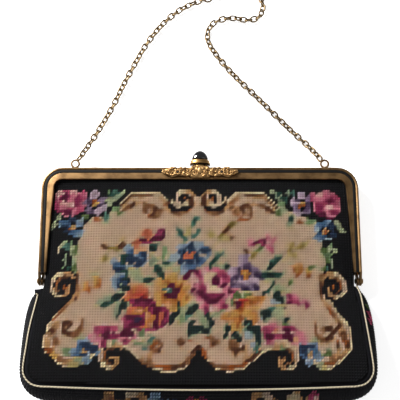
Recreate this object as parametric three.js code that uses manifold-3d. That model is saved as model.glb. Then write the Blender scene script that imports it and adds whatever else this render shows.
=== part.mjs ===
// A petit point handbag lying on its back, with its chain laid out on the surface above the frame.
// Lengths are millimetres. +X is to the right of someone who looks at the front panel, +Y runs up the
// bag to its frame, and +Z points away from the surface. The origin is under the middle of the back panel.
import * as THREE from "three";
import { mergeVertices } from "three/addons/utils/BufferGeometryUtils.js";
import Module from "manifold-3d";

// Overall sizes
const bodyHeight = 142; // frame top to the furthest reach of the bottom gusset
const bodyWidth = 194.6; // across the front seam at its widest
const bodyDepth = 27; // height of the front seam at the bottom, over the surface
const bodyLean = 1; // how far the bag's lower end lies to the left
const leanRun = 14; // height under the frame over which it gets there
const cornerRadius = 10; // lower corners of the panels, at the seam
const seamBow = 2; // how far the bottom seam bows down at its middle
const gussetReach = 6.5; // how far the gusset bulges past the seams at the bottom

// Frame
const frameWidth = 190;
const frameHeight = 64;
const frameCornerRadius = 12.5;
const frameHalfDepth = 6; // one half, from the parting plane to its face
const partingGap = 0.3;
const rimWall = 1;
const faceWall = 1.6;
const faceWidth = 7.6; // across the top
const faceWidthAtEnds = 5;
const ribWidth = 1.7;
const ribRise = 0.35; // rib over the flat band
const grooveWidth = 1.9;
const grooveDepth = 0.55; // under the flat band
const beadWidth = 0.8;
const beadRise = 0.3;
const inlayGap = 0.12; // between the enamel line and its groove

// Hinges at the frame's ends
const hingeDrop = 4.5; // hinge axis under the frame's end
const lugRadius = 2.8;
const lugWall = 1.2;
const lugGap = 0.4;
const lugRoot = 2; // how far a lug runs up inside its frame half
const rivetRadius = 0.9;
const rivetHeadRadius = 1.8;
const rivetHeadHeight = 0.8;

// Chain and its rings
const ringSpacing = 151;
const ringRadius = 2.35; // to the middle of the wire
const ringWire = 1.3;
const ringDepthShare = 0.5; // place of the rings across the front half's depth
const chainWidth = 4;
const chainRise = 0.1; // lowest link over the surface
const chainSteps = 46;

// Cloth
const clothWall = 2;
const pipingDiameter = 1.8;
const clearance = 0.3; // between pieces that touch on the real bag
const rimClearance = 0.5; // between the frame's rim and the cloth in it
const backSeamDrop = 3; // how far the back panel's bottom seam lies below the front's

// Clasp
const claspWidth = 13.4;
const claspDepthShare = 0.58; // depth over width
const claspHeight = 12; // over the frame's top edge
const claspShift = 0.9; // its axis in front of the parting plane
const leverWall = 1;
const leverRise = 1.15; // underside of the lever's plate over the frame
const pinRadius = 0.55;
const pinSetback = 4.5; // behind the parting plane
const knuckleRadius = 1.15;
const knuckleWidth = 5.4;
const earWall = 1.2;
const catchWidth = 6;
const catchWall = 0.6;
const lipWall = 0.9;
const lipPlace = 3.7; // lip's inner face in front of the parting plane
const enamelWall = 0.7;
const collarHeight = 2.65;
const seatGap = 0.15; // between the clasp's stacked pieces

// Ornament
const ornamentLength = 46;
const ornamentHeight = 7.2;
const ornamentWall = 0.5;
const reliefHeight = 0.7;
const ornamentGap = 0.15; // over the frame's rib

const brass = { color: 0xa07a45, metalness: 1, roughness: 0.4 };
const agedBrass = { color: 0x7d6743, metalness: 1, roughness: 0.45 };
const enamel = { color: 0x14120f, metalness: 0, roughness: 0.25 };
const onyx = { color: 0x0c0c0d, metalness: 0, roughness: 0.15 };
const stitchedCloth = { color: 0x4a3d33, metalness: 0, roughness: 0.95 };
const blackCloth = { color: 0x15151a, metalness: 0, roughness: 0.95 };
const creamCord = { color: 0xcdb892, metalness: 0, roughness: 0.8 };

// Places that follow from the sizes
const frameTop = bodyHeight / 2;
const frameEnd = frameTop - frameHeight;
const partingZ = frameHalfDepth;
const hingeY = frameEnd - hingeDrop;
const seamInset = pipingDiameter / 2 + clearance;
const seamStart = hingeY - lugRadius - seamInset; // top of the seams, just under the hinges
const seamBottom = -bodyHeight / 2 + gussetReach + seamBow + (backSeamDrop + clothWall) / 2;
const clothInFrame = partingZ + frameHalfDepth - faceWall - clearance; // front panel's outside in the frame
const clothHalfWidthInFrame = frameWidth / 2 - rimWall - rimClearance;
const clothHalfWidthAtHinge = frameWidth / 2 - 2 * lugWall - lugGap - rivetHeadHeight - clearance;

const wasm = await Module();
wasm.setup();

// Mesh helpers

/** A closed solid's geometry with its faces turned outwards. */
function facingOut(geometry) {
  const bare = new THREE.BufferGeometry();
  bare.setAttribute("position", geometry.getAttribute("position").clone());
  if (geometry.index) bare.setIndex([...geometry.index.array]);
  const merged = mergeVertices(bare, 1e-4);
  const at = (i) => new THREE.Vector3().fromBufferAttribute(merged.attributes.position, i);
  const index = merged.index.array;
  let volume = 0;
  for (let i = 0; i < index.length; i += 3) {
    volume += at(index[i]).dot(at(index[i + 1]).cross(at(index[i + 2])));
  }
  if (volume < 0) {
    for (let i = 0; i < index.length; i += 3) {
      [index[i + 1], index[i + 2]] = [index[i + 2], index[i + 1]];
    }
  }
  return merged;
}

/** A geometry as a solid that can be joined and cut. */
function solid(geometry) {
  const closed = facingOut(geometry);
  return new wasm.Manifold(
    new wasm.Mesh({
      numProp: 3,
      vertProperties: closed.attributes.position.array,
      triVerts: new Uint32Array(closed.index.array),
    }),
  );
}

/** A joined or cut solid as a geometry. */
function geometryOf(made) {
  const mesh = made.getMesh();
  const geometry = new THREE.BufferGeometry();
  geometry.setAttribute("position", new THREE.BufferAttribute(mesh.vertProperties, 3));
  geometry.setIndex(new THREE.BufferAttribute(mesh.triVerts, 1));
  return geometry;
}

function joined(geometries) {
  return geometries.map(solid).reduce((all, next) => all.add(next));
}

/** A solid lofted through rings of points, with flat ends. */
function loft(rings) {
  const size = rings[0].length;
  const points = rings.flat().flatMap((p) => [p.x, p.y, p.z]);
  const index = [];
  for (let r = 0; r + 1 < rings.length; r += 1) {
    for (let k = 0; k < size; k += 1) {
      const a = r * size + k;
      const b = r * size + ((k + 1) % size);
      index.push(a, b, b + size, a, b + size, a + size);
    }
  }
  for (const [first, turn] of [[0, 1], [(rings.length - 1) * size, -1]]) {
    const ring = rings[first / size];
    for (const face of THREE.ShapeUtils.triangulateShape(flattened(ring), [])) {
      const [a, b, c] = turn > 0 ? [...face].reverse() : face;
      index.push(first + a, first + b, first + c);
    }
  }
  return oriented(points, index);
}

/** A flat ring of points in its own plane. */
function flattened(ring) {
  const middle = ring.reduce((sum, p) => sum.clone().add(p), new THREE.Vector3()).divideScalar(ring.length);
  const normal = new THREE.Vector3();
  ring.forEach((p, k) => {
    const next = ring[(k + 1) % ring.length];
    normal.add(p.clone().sub(middle).cross(next.clone().sub(middle)));
  });
  normal.normalize();
  const across = ring[1].clone().sub(ring[0]).normalize();
  const up = normal.clone().cross(across);
  return ring.map((p) => new THREE.Vector2(p.clone().sub(middle).dot(across), p.clone().sub(middle).dot(up)));
}

function oriented(points, index) {
  const geometry = new THREE.BufferGeometry();
  geometry.setAttribute("position", new THREE.Float32BufferAttribute(points, 3));
  geometry.setIndex(index);
  return facingOut(geometry);
}

/** A wall between an outside and an inside grid of points, closed round its edge. */
function wall(outside, inside) {
  const rows = outside.length;
  const columns = outside[0].length;
  const points = [...outside.flat(), ...inside.flat()].flatMap((p) => [p.x, p.y, p.z]);
  const index = [];
  const at = (layer, r, c) => layer * rows * columns + r * columns + c;
  const quad = (a, b, c, d) => index.push(a, b, c, a, c, d);
  for (let r = 0; r + 1 < rows; r += 1) {
    for (let c = 0; c + 1 < columns; c += 1) {
      quad(at(0, r, c), at(0, r, c + 1), at(0, r + 1, c + 1), at(0, r + 1, c));
      quad(at(1, r, c), at(1, r + 1, c), at(1, r + 1, c + 1), at(1, r, c + 1));
    }
  }
  for (let c = 0; c + 1 < columns; c += 1) {
    quad(at(0, 0, c), at(1, 0, c), at(1, 0, c + 1), at(0, 0, c + 1));
    quad(at(0, rows - 1, c), at(0, rows - 1, c + 1), at(1, rows - 1, c + 1), at(1, rows - 1, c));
  }
  for (let r = 0; r + 1 < rows; r += 1) {
    quad(at(0, r, 0), at(0, r + 1, 0), at(1, r + 1, 0), at(1, r, 0));
    quad(at(0, r, columns - 1), at(1, r, columns - 1), at(1, r + 1, columns - 1), at(0, r + 1, columns - 1));
  }
  return oriented(points, index);
}

/** A round cord along a smooth curve through points. */
function cordAlong(points, diameter, steps, sides) {
  const round = new THREE.Shape();
  for (let k = 0; k < sides; k += 1) {
    const turn = (2 * Math.PI * k) / sides;
    const [x, y] = [(Math.cos(turn) * diameter) / 2, (Math.sin(turn) * diameter) / 2];
    if (k === 0) round.moveTo(x, y);
    else round.lineTo(x, y);
  }
  const extrudePath = new THREE.CatmullRomCurve3(points, false, "centripetal");
  return facingOut(new THREE.ExtrudeGeometry(round, { steps, extrudePath, curveSegments: 1, bevelEnabled: false }));
}

/** A plate whose outline is drawn on Z (first) and Y (second), running from fromX to toX. */
function plateAcross(outline, fromX, toX) {
  const shape = new THREE.Shape(outline.map(([z, y]) => new THREE.Vector2(z, y)));
  const geometry = new THREE.ExtrudeGeometry(shape, { depth: toX - fromX, bevelEnabled: false });
  const basis = new THREE.Matrix4().makeBasis(
    new THREE.Vector3(0, 0, 1),
    new THREE.Vector3(0, 1, 0),
    new THREE.Vector3(-1, 0, 0),
  );
  return geometry.applyMatrix4(basis).translate(toX, 0, 0);
}

/** A cylinder along X. */
function barAcross(radius, length, x, y, z, sides = 12) {
  return new THREE.CylinderGeometry(radius, radius, length, sides).rotateZ(Math.PI / 2).translate(x, y, z);
}

const lerp = THREE.MathUtils.lerp;

// Frame

const sideRows = [
  // rise: share of the straight side, width: share of the way from the end's face width to the top's
  { rise: 0, width: 0 },
  { rise: 0.35, width: 0.25 },
  { rise: 0.7, width: 0.6 },
  { rise: 1, width: 1 },
];
const cornerSteps = 6;

/** Stations along the frame's outer edge from the left end, over the top, to the right end. */
function frameStations() {
  const half = frameWidth / 2;
  const sideTop = frameTop - frameCornerRadius;
  const right = [];
  for (const row of sideRows) {
    right.push({
      x: half,
      y: lerp(frameEnd, sideTop, row.rise),
      inward: [-1, 0],
      face: lerp(faceWidthAtEnds, faceWidth, row.width),
    });
  }
  for (let k = 1; k <= cornerSteps; k += 1) {
    const turn = (Math.PI / 2) * (k / cornerSteps);
    right.push({
      x: half - frameCornerRadius * (1 - Math.cos(turn)),
      y: sideTop + frameCornerRadius * Math.sin(turn),
      inward: [-Math.cos(turn), -Math.sin(turn)],
      face: faceWidth,
    });
  }
  const left = right.map((s) => ({ ...s, x: -s.x, inward: [-s.inward[0], s.inward[1]] }));
  return [...left, ...right.reverse()];
}

/** Places points given as (distance in from the outer edge, height over the parting plane) at a station. */
function atStation(station, side, profile) {
  return profile.map(
    ([inset, height]) =>
      new THREE.Vector3(
        station.x + station.inward[0] * inset,
        station.y + station.inward[1] * inset,
        partingZ + side * height,
      ),
  );
}

/** Section of one frame half: rim, rounded rib, enamel groove, flat band and inner bead. */
function frameProfile(face) {
  const top = frameHalfDepth;
  const band = top - ribRise;
  const floor = band - grooveDepth;
  const grooveEnd = ribWidth + grooveWidth;
  return [
    [0, partingGap / 2],
    [0, top - 1],
    [ribWidth * 0.2, top - 0.25],
    [ribWidth * 0.55, top],
    [ribWidth, band],
    [ribWidth, floor],
    [grooveEnd, floor],
    [grooveEnd, band],
    [face - beadWidth, band],
    [face - beadWidth * 0.8, band + beadRise],
    [face - beadWidth * 0.3, band + beadRise],
    [face, band - 0.1],
    [face, top - faceWall + 0.1],
    [face - 0.4, top - faceWall],
    [rimWall, top - faceWall],
    [rimWall, partingGap / 2],
  ];
}

function inlayProfile() {
  const floor = frameHalfDepth - ribRise - grooveDepth;
  const start = ribWidth + inlayGap;
  const end = ribWidth + grooveWidth - inlayGap;
  return [
    [start, floor + inlayGap],
    [end, floor + inlayGap],
    [end, floor + grooveDepth],
    [start, floor + grooveDepth],
  ];
}

function frameHalf(side) {
  return loft(frameStations().map((s) => atStation(s, side, frameProfile(s.face))));
}

function enamelLine(side) {
  return loft(frameStations().map((s) => atStation(s, side, inlayProfile())));
}

/** Hinge lug of one half, drawn on Z and Y, with its root inside the frame's end. */
function lugOutline(side) {
  const rootDepth = frameHalfDepth - faceWall + 0.5;
  const rootTop = frameEnd + lugRoot;
  const outline = [
    [partingZ + side * rootDepth, rootTop],
    [partingZ + side * rootDepth, frameEnd - 0.2],
  ];
  const arcSteps = 8;
  for (let k = 0; k <= arcSteps; k += 1) {
    const turn = (-Math.PI * k) / arcSteps;
    outline.push([partingZ + side * lugRadius * Math.cos(turn), hingeY + lugRadius * Math.sin(turn)]);
  }
  outline.push([partingZ + side * (partingGap / 2), frameEnd - 1.2], [partingZ + side * (partingGap / 2), rootTop]);
  return outline;
}

/** The front half's lugs lie outside and the back half's inside, riveted through. */
function hingeLugs(side) {
  const outer = frameWidth / 2 - (side > 0 ? 0 : lugWall + lugGap);
  const outline = lugOutline(side);
  const lugs = [-1, 1].map((hand) => plateAcross(outline, ...[hand * outer, hand * (outer - lugWall)].sort((a, b) => a - b)));
  return joined(lugs);
}

function rivetHoles() {
  const holes = [-1, 1].map((hand) =>
    barAcross(rivetRadius + clearance, 4 * lugWall + lugGap, hand * (frameWidth / 2 - lugWall), hingeY, partingZ),
  );
  return joined(holes);
}

function rivet(hand) {
  const reach = lugWall + lugGap / 2 + clearance;
  const profile = [
    [0, -reach - rivetHeadHeight],
    [rivetHeadRadius * 0.6, -reach - rivetHeadHeight],
    [rivetHeadRadius, -reach - rivetHeadHeight * 0.4],
    [rivetHeadRadius, -reach],
    [rivetRadius, -reach],
    [rivetRadius, reach],
    [rivetHeadRadius, reach],
    [rivetHeadRadius, reach + rivetHeadHeight * 0.4],
    [rivetHeadRadius * 0.6, reach + rivetHeadHeight],
    [0, reach + rivetHeadHeight],
  ];
  const middle = frameWidth / 2 - lugWall - lugGap / 2;
  return turned(profile, 12).rotateZ(Math.PI / 2).translate(hand * middle, hingeY, partingZ);
}

/** A solid turned about Y from a profile of (radius, height). */
function turned(profile, sides) {
  return facingOut(new THREE.LatheGeometry(profile.map(([r, y]) => new THREE.Vector2(r, y)), sides));
}

const ringY = frameTop + ringRadius + ringWire / 2 - 0.1;
const ringZ = partingZ + frameHalfDepth * ringDepthShare;

/** A ring for the chain with the foot that it is soldered by. */
function chainRing(hand) {
  const ring = new THREE.TorusGeometry(ringRadius, ringWire / 2, 6, 12).translate((hand * ringSpacing) / 2, ringY, ringZ);
  const foot = new THREE.CylinderGeometry(ringWire * 0.55, ringWire * 0.8, 1.2, 8);
  foot.translate((hand * ringSpacing) / 2, frameTop + 0.1, ringZ);
  return joined([ring, foot]);
}

/** The low rib on the front half that the clasp's lip snaps over. */
function catchRib() {
  const front = partingZ + lipPlace - clearance;
  const rise = leverRise - clearance;
  const outline = [
    [front - catchWall, frameTop - rimWall / 2],
    [front, frameTop - rimWall / 2],
    [front, frameTop + rise],
    [front - catchWall, frameTop + rise * 0.7],
  ];
  return solid(plateAcross(outline, -catchWidth / 2, catchWidth / 2));
}

const pinY = frameTop + knuckleRadius + clearance;
const pinZ = partingZ - pinSetback;

/** The two ears on the back half that hold the clasp's pin. */
function claspEars() {
  const inner = knuckleWidth / 2 + clearance;
  const ears = [-1, 1].flatMap((hand) => {
    const [from, to] = [hand * inner, hand * (inner + earWall)].sort((a, b) => a - b);
    const foot = [
      [pinZ - knuckleRadius * 0.9, frameTop - rimWall / 2],
      [pinZ + knuckleRadius * 0.9, frameTop - rimWall / 2],
      [pinZ + knuckleRadius * 0.9, pinY],
      [pinZ - knuckleRadius * 0.9, pinY],
    ];
    return [plateAcross(foot, from, to), barAcross(knuckleRadius, earWall, (from + to) / 2, pinY, pinZ)];
  });
  return joined(ears).subtract(pinHole());
}

function pinHole() {
  return solid(barAcross(pinRadius + clearance, 3 * knuckleWidth, 0, pinY, pinZ));
}

function frameFront() {
  const rings = chainRing(-1).add(chainRing(1));
  return geometryOf(solid(frameHalf(1)).add(hingeLugs(1)).subtract(rivetHoles()).add(rings).add(catchRib()));
}

function frameBack() {
  return geometryOf(solid(frameHalf(-1)).add(hingeLugs(-1)).subtract(rivetHoles()).add(claspEars()));
}

// Clasp

const leverTop = frameTop + leverRise + leverWall;
const collarBottom = leverTop + enamelWall + 2 * seatGap;
const collarTop = collarBottom + collarHeight;
const claspZ = partingZ + claspShift;
const claspSides = 20;

/** A turned piece of the clasp, with radii given as shares of its half width and made oval. */
function oval(profile) {
  const radii = profile.map(([share, y]) => [(share * claspWidth) / 2, y]);
  return turned(radii, claspSides).scale(1, 1, claspDepthShare).translate(0, 0, claspZ);
}

const collarRows = [
  // radius: share of half the clasp's width, rise: share of the collar's height
  { radius: 0.93, rise: 0 },
  { radius: 0.96, rise: 0.1 },
  { radius: 0.93, rise: 0.24 },
  { radius: 0.9, rise: 0.3 },
  { radius: 0.88, rise: 0.62 },
  { radius: 0.86, rise: 0.72 },
  { radius: 0.87, rise: 0.84 },
  { radius: 0.8, rise: 1 },
];

function claspLever() {
  const half = (claspWidth / 2) * 0.62;
  const bottom = frameTop + leverRise;
  const lipFront = partingZ + lipPlace + lipWall;
  const sidePlate = [
    [pinZ, bottom],
    [partingZ + lipPlace, bottom],
    [partingZ + lipPlace, frameTop + clearance],
    [lipFront, frameTop + clearance],
    [lipFront, leverTop],
    [pinZ, leverTop],
  ];
  const plate = solid(plateAcross(sidePlate, -knuckleWidth / 2, knuckleWidth / 2));
  const wings = solid(
    plateAcross(
      [
        [pinZ + knuckleRadius + 2 * clearance, bottom],
        [partingZ + lipPlace, bottom],
        [partingZ + lipPlace, leverTop],
        [pinZ + knuckleRadius + 2 * clearance, leverTop],
      ],
      -half,
      half,
    ),
  );
  const knuckle = solid(barAcross(knuckleRadius, knuckleWidth, 0, pinY, pinZ));
  const core = solid(oval([[0, leverTop - 0.5], [0.5, leverTop - 0.5], [0.5, collarBottom + 0.5], [0, collarBottom + 0.5]]));
  const collar = solid(
    oval([
      [0, collarBottom],
      ...collarRows.map((row) => [row.radius, collarBottom + row.rise * collarHeight]),
      [0, collarTop],
    ]),
  );
  return geometryOf(plate.add(wings).add(knuckle).subtract(pinHole()).add(core).add(collar));
}

function claspEnamelRing() {
  const bottom = leverTop + seatGap;
  const top = bottom + enamelWall;
  const disc = solid(oval([[0, bottom], [1, bottom], [0.98, top], [0, top]]));
  const hole = solid(oval([[0, bottom - 1], [0.56, bottom - 1], [0.56, top + 1], [0, top + 1]]));
  return geometryOf(disc.subtract(hole));
}

const cabochonRows = [
  // radius: share of half the clasp's width, rise: share of the cabochon's height
  { radius: 0.77, rise: 0 },
  { radius: 0.76, rise: 0.18 },
  { radius: 0.69, rise: 0.42 },
  { radius: 0.56, rise: 0.66 },
  { radius: 0.37, rise: 0.86 },
  { radius: 0.17, rise: 0.97 },
];

function claspCabochon() {
  const bottom = collarTop + seatGap;
  const top = frameTop + claspHeight;
  return oval([
    [0, bottom],
    ...cabochonRows.map((row) => [row.radius, lerp(bottom, top, row.rise)]),
    [0, top],
  ]);
}

function claspPin() {
  return barAcross(pinRadius, knuckleWidth + 2 * (clearance + earWall), 0, pinY, pinZ);
}

// Ornament

const ornamentOutline = [
  // along: share of half its length from the middle, reach: share of half its height
  { along: 0, reach: 1 },
  { along: 0.22, reach: 0.97 },
  { along: 0.27, reach: 0.62 },
  { along: 0.37, reach: 0.52 },
  { along: 0.47, reach: 0.72 },
  { along: 0.57, reach: 0.55 },
  { along: 0.66, reach: 0.78 },
  { along: 0.74, reach: 0.95 },
  { along: 0.82, reach: 0.6 },
  { along: 0.91, reach: 0.4 },
  { along: 1, reach: 0.08 },
];

const ornamentLeaves = [
  // place and size as shares of half the length and half the height, turn in degrees
  { along: 0.07, up: 0.45, length: 0.075, breadth: 0.3, turn: 60 },
  { along: 0.07, up: -0.45, length: 0.075, breadth: 0.3, turn: -60 },
  { along: 0.15, up: 0.12, length: 0.07, breadth: 0.28, turn: 0 },
  { along: 0.2, up: 0.62, length: 0.06, breadth: 0.26, turn: 35 },
  { along: 0.2, up: -0.62, length: 0.06, breadth: 0.26, turn: -35 },
  { along: 0.31, up: 0.2, length: 0.08, breadth: 0.24, turn: 25 },
  { along: 0.31, up: -0.2, length: 0.08, breadth: 0.24, turn: -25 },
  { along: 0.61, up: 0.2, length: 0.08, breadth: 0.26, turn: 40 },
  { along: 0.63, up: -0.35, length: 0.07, breadth: 0.24, turn: -40 },
  { along: 0.74, up: 0.55, length: 0.06, breadth: 0.3, turn: 10 },
  { along: 0.74, up: -0.5, length: 0.06, breadth: 0.3, turn: -10 },
  { along: 0.84, up: 0.05, length: 0.1, breadth: 0.26, turn: 0 },
];
const rosettePlace = 0.47;
const rosetteRadius = 1.35;
const rosetteWire = 0.4;

/** The openwork-patterned mount over the middle of the frame's face, raised leaf by leaf. */
function ornament() {
  const [halfLength, halfHeight] = [ornamentLength / 2, ornamentHeight / 2];
  const bottom = partingZ + frameHalfDepth + ornamentGap;
  const middle = frameTop - halfHeight + 0.4;
  const quarter = ornamentOutline.map((row) => [row.along * halfLength, row.reach * halfHeight]);
  const upper = [...quarter.slice(1).reverse().map(([x, y]) => [-x, y]), ...quarter];
  const lower = upper.map(([x, y]) => [x, -y]).reverse();
  const outline = new THREE.Shape([...upper, ...lower].map(([x, y]) => new THREE.Vector2(x, middle + y)));
  const plate = solid(
    new THREE.ExtrudeGeometry(outline, { depth: ornamentWall, bevelEnabled: false }).translate(0, 0, bottom),
  );
  const pad = (x, y, long, broad, turn) =>
    new THREE.SphereGeometry(1, 8, 4)
      .scale(long, broad, reliefHeight)
      .rotateZ(THREE.MathUtils.degToRad(turn))
      .translate(x, y, bottom + ornamentWall * 0.6);
  const relief = [pad(0, middle, 1.1, 1.1, 0)];
  for (const hand of [-1, 1]) {
    for (const leaf of ornamentLeaves) {
      const [x, y] = [hand * leaf.along * halfLength, middle + leaf.up * halfHeight];
      relief.push(pad(x, y, leaf.length * halfLength, leaf.breadth * halfHeight, hand * leaf.turn));
    }
    relief.push(
      new THREE.TorusGeometry(rosetteRadius, rosetteWire, 5, 12).translate(
        hand * rosettePlace * halfLength,
        middle,
        bottom + ornamentWall,
      ),
    );
  }
  const all = relief.map(solid).reduce((sum, next) => sum.add(next), plate);
  const box = solid(
    new THREE.BoxGeometry(2 * ornamentLength, 2 * ornamentHeight, 2).translate(0, middle, bottom - 1),
  );
  return geometryOf(all.subtract(box));
}

// Cloth body

const frameRows = [
  // drop: share of the frame's height below its inner edge, crown: share of the body's depth
  { drop: 0, crown: 0 },
  { drop: 0.08, crown: 0.07 },
  { drop: 0.26, crown: 0.14 },
  { drop: 0.54, crown: 0.24 },
  { drop: 0.78, crown: 0.32 },
  { drop: 1, crown: 0.37 },
];

const bodyRows = [
  // drop: share of the seam's straight side, flare: share of the way from the hinge's to the full width,
  // lift: share of the seam's climb, crown: share of the body's depth, left and right: the gusset's
  // bulge as a share of its reach at the bottom
  { drop: 0, flare: 0, lift: 0, crown: 0.4, left: 0.1, right: 0.1 },
  { drop: 0.1, flare: 0.34, lift: 0.18, crown: 0.34, left: 0.45, right: 0.5 },
  { drop: 0.25, flare: 0.5, lift: 0.33, crown: 0.27, left: 0.7, right: 0.8 },
  { drop: 0.5, flare: 0.68, lift: 0.58, crown: 0.19, left: 0.76, right: 0.88 },
  { drop: 0.76, flare: 0.86, lift: 0.8, crown: 0.12, left: 0.66, right: 0.76 },
  { drop: 1, flare: 1, lift: 0.94, crown: 0.06, left: 0.6, right: 0.66 },
];

const cornerRows = [
  // turn: degrees round the lower corner, lift and crown as above, bulge: share of the bottom's reach
  { turn: 30, lift: 0.97, crown: 0.05, bulge: 0.62 },
  { turn: 60, lift: 0.99, crown: 0.03, bulge: 0.68 },
  { turn: 90, lift: 1, crown: 0, bulge: 0.76 },
];

// Shares of the half width at which the panels have their columns, from the middle out
const columnShares = [0, 0.36, 0.67, 0.86];
const edgeColumn = 0.94; // last column before the edge, below the frame

const seamSideBottom = seamBottom + cornerRadius;
const seamTopZ = clothInFrame - clothWall / 2;
const seamHalfWidthAtHinge = clothHalfWidthAtHinge + seamInset;

/** Sideways shift of the cloth at a height on the bag. */
function leanAt(y) {
  return -bodyLean * THREE.MathUtils.smoothstep(frameEnd - y, 0, leanRun);
}

/** Bow of the bottom seam at a share of its half width. */
function bowAt(share) {
  return -seamBow * (1 - share * share);
}

/** Seam stations of one panel down its right side and round the corner, as place and outward direction. */
function seamSide(panel) {
  const half = bodyWidth / 2;
  const drop = panel === "front" ? 0 : backSeamDrop;
  const heightOf = (lift) => (panel === "front" ? lerp(seamTopZ, bodyDepth, lift) : backSeamHeight(lift));
  const side = bodyRows.map((row) => ({
    x: lerp(seamHalfWidthAtHinge, half, row.flare),
    y: lerp(seamStart, seamSideBottom - drop, row.drop),
    z: heightOf(row.lift),
    out: [1, 0],
    crown: row.crown,
    bow: 0,
    bulges: [row.left, row.right],
  }));
  const corner = cornerRows.map((row) => {
    const turn = THREE.MathUtils.degToRad(row.turn);
    return {
      x: half - cornerRadius * (1 - Math.cos(turn)),
      y: seamSideBottom - drop - cornerRadius * Math.sin(turn),
      z: heightOf(row.lift),
      out: [Math.cos(turn), -Math.sin(turn)],
      crown: row.crown,
      bow: Math.sin(turn) ** 2,
      bulges: [row.bulge, row.bulge],
    };
  });
  return [...side, ...corner];
}

/** The back seam sinks from the frame to the surface over the first half of its side. */
function backSeamHeight(lift) {
  const top = 2 * partingZ - seamTopZ;
  return lerp(top, clothWall / 2, Math.min(1, lift / 0.5));
}

const pipingSides = 8;

/** The whole seam of one panel from the left hinge round the bottom to the right hinge. */
function seamStations(panel) {
  const right = seamSide(panel);
  const last = right[right.length - 1];
  const shares = [...columnShares.slice(1), edgeColumn];
  const bottom = [...shares.map((s) => -s).reverse(), 0, ...shares];
  const placed = (s, hand) => ({
    ...s,
    x: hand * s.x + leanAt(s.y),
    out: [hand * s.out[0], s.out[1]],
    bulge: gussetReach * s.bulges[hand < 0 ? 0 : 1],
  });
  const middle = bottom.map((share) => ({
    x: share * last.x + leanAt(last.y),
    y: last.y + bowAt(share),
    z: last.z,
    out: [0, -1],
    bulge: gussetReach * lerp(1, last.bulges[0], share * share),
  }));
  return [...right.map((s) => placed(s, -1)), ...middle, ...right.map((s) => placed(s, 1)).reverse()];
}

/** Rows of one panel: height on the bag, half width, edge height, crown, and where the crown starts. */
function panelRows(panel) {
  const cornerInset = frameCornerRadius - rimWall - rimClearance;
  const top = frameTop - rimWall - rimClearance;
  const edge = panel === "front" ? clothInFrame : 2 * partingZ - clothInFrame;
  const innerEdge = frameTop - faceWidth - clearance;
  const widthAt = (y) => {
    const rise = Math.max(0, y - (top - cornerInset));
    const corner = cornerInset - Math.sqrt(Math.max(0, cornerInset ** 2 - rise ** 2));
    const narrowing = THREE.MathUtils.smoothstep(frameTop - y, frameHeight * 0.6, frameHeight * 0.92);
    return lerp(clothHalfWidthInFrame, clothHalfWidthAtHinge, narrowing) - corner;
  };
  const faceAt = (y) => lerp(faceWidthAtEnds, faceWidth, THREE.MathUtils.clamp((y - frameEnd) / (frameHeight - frameCornerRadius), 0, 1));
  const inFrame = frameRows.map((row) => {
    const y = lerp(innerEdge, frameEnd, row.drop);
    const half = widthAt(y);
    return { y, half, edge, crown: row.crown, bow: 0, start: (frameWidth / 2 - faceAt(y) - clearance) / half };
  });
  const below = seamSide(panel).map((s) => ({
    y: s.y - s.out[1] * seamInset,
    half: s.x - s.out[0] * seamInset,
    edge: panel === "front" ? s.z + clothWall / 2 : s.z - clothWall / 2,
    crown: s.crown,
    bow: s.bow,
    start: 1,
  }));
  return [{ y: top, half: widthAt(top), edge, crown: 0, bow: 0, start: inFrame[0].start }, ...inFrame, ...below];
}

/** One panel: stitched canvas with its backing, held under the frame's face and bowed out below it. */
function panel(name) {
  const side = name === "front" ? 1 : -1;
  const rows = panelRows(name);
  const outside = rows.map((row, r) => {
    const limit = row.start < 1 ? row.start : edgeColumn;
    const shares = [...columnShares.map((s) => s * (limit / edgeColumn)), limit, 1];
    const across = [...shares.slice(1).reverse().map((s) => -s), ...shares];
    return across.map((share) => {
      const reach = Math.min(1, Math.abs(share) / row.start);
      const crown = row.crown * bodyDepth * (1 - reach ** 4);
      const height = side > 0 ? row.edge + crown : Math.max(0, row.edge - crown);
      return new THREE.Vector3(share * row.half + leanAt(row.y), row.y + bowAt(share) * row.bow, height);
    });
  });
  const inside = outside.map((row) => row.map((p) => new THREE.Vector3(p.x, p.y, p.z - side * clothWall)));
  return wall(outside, inside);
}

/** The strip that joins the two panels down the sides and along the bottom, bulging outwards. */
function gusset() {
  const front = seamStations("front");
  const back = seamStations("back");
  const shares = [0, 0.22, 0.5, 0.78, 1];
  const ringAt = (offset) =>
    front.map((f, k) => {
      const b = back[k];
      return shares.map((share) => {
        const out = offset + f.bulge * 4 * share * (1 - share);
        return new THREE.Vector3(
          lerp(f.x, b.x, share) + f.out[0] * out,
          lerp(f.y, b.y, share) + f.out[1] * out,
          lerp(f.z - seamInset, b.z + seamInset, share),
        );
      });
    });
  return wall(ringAt(clothWall / 2), ringAt(-clothWall / 2));
}

/** The round cord sewn into one seam, with a ring of corners at each station. */
function piping(name) {
  const stations = seamStations(name);
  const places = stations.map((s) => new THREE.Vector3(s.x, s.y, s.z));
  const rings = stations.map((s, k) => {
    const before = places[Math.max(k - 1, 0)];
    const after = places[Math.min(k + 1, places.length - 1)];
    const along = after.clone().sub(before).normalize();
    const level = new THREE.Vector3(s.out[0], s.out[1], 0);
    const out = level.addScaledVector(along, -level.dot(along)).normalize();
    const up = along.clone().cross(out);
    return Array.from({ length: pipingSides }, (_, corner) => {
      const turn = (2 * Math.PI * (corner + 0.5)) / pipingSides;
      const [x, y] = [(Math.cos(turn) * pipingDiameter) / 2, (Math.sin(turn) * pipingDiameter) / 2];
      return places[k].clone().addScaledVector(out, x).addScaledVector(up, y);
    });
  });
  return loft(rings);
}

// Chain

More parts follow.
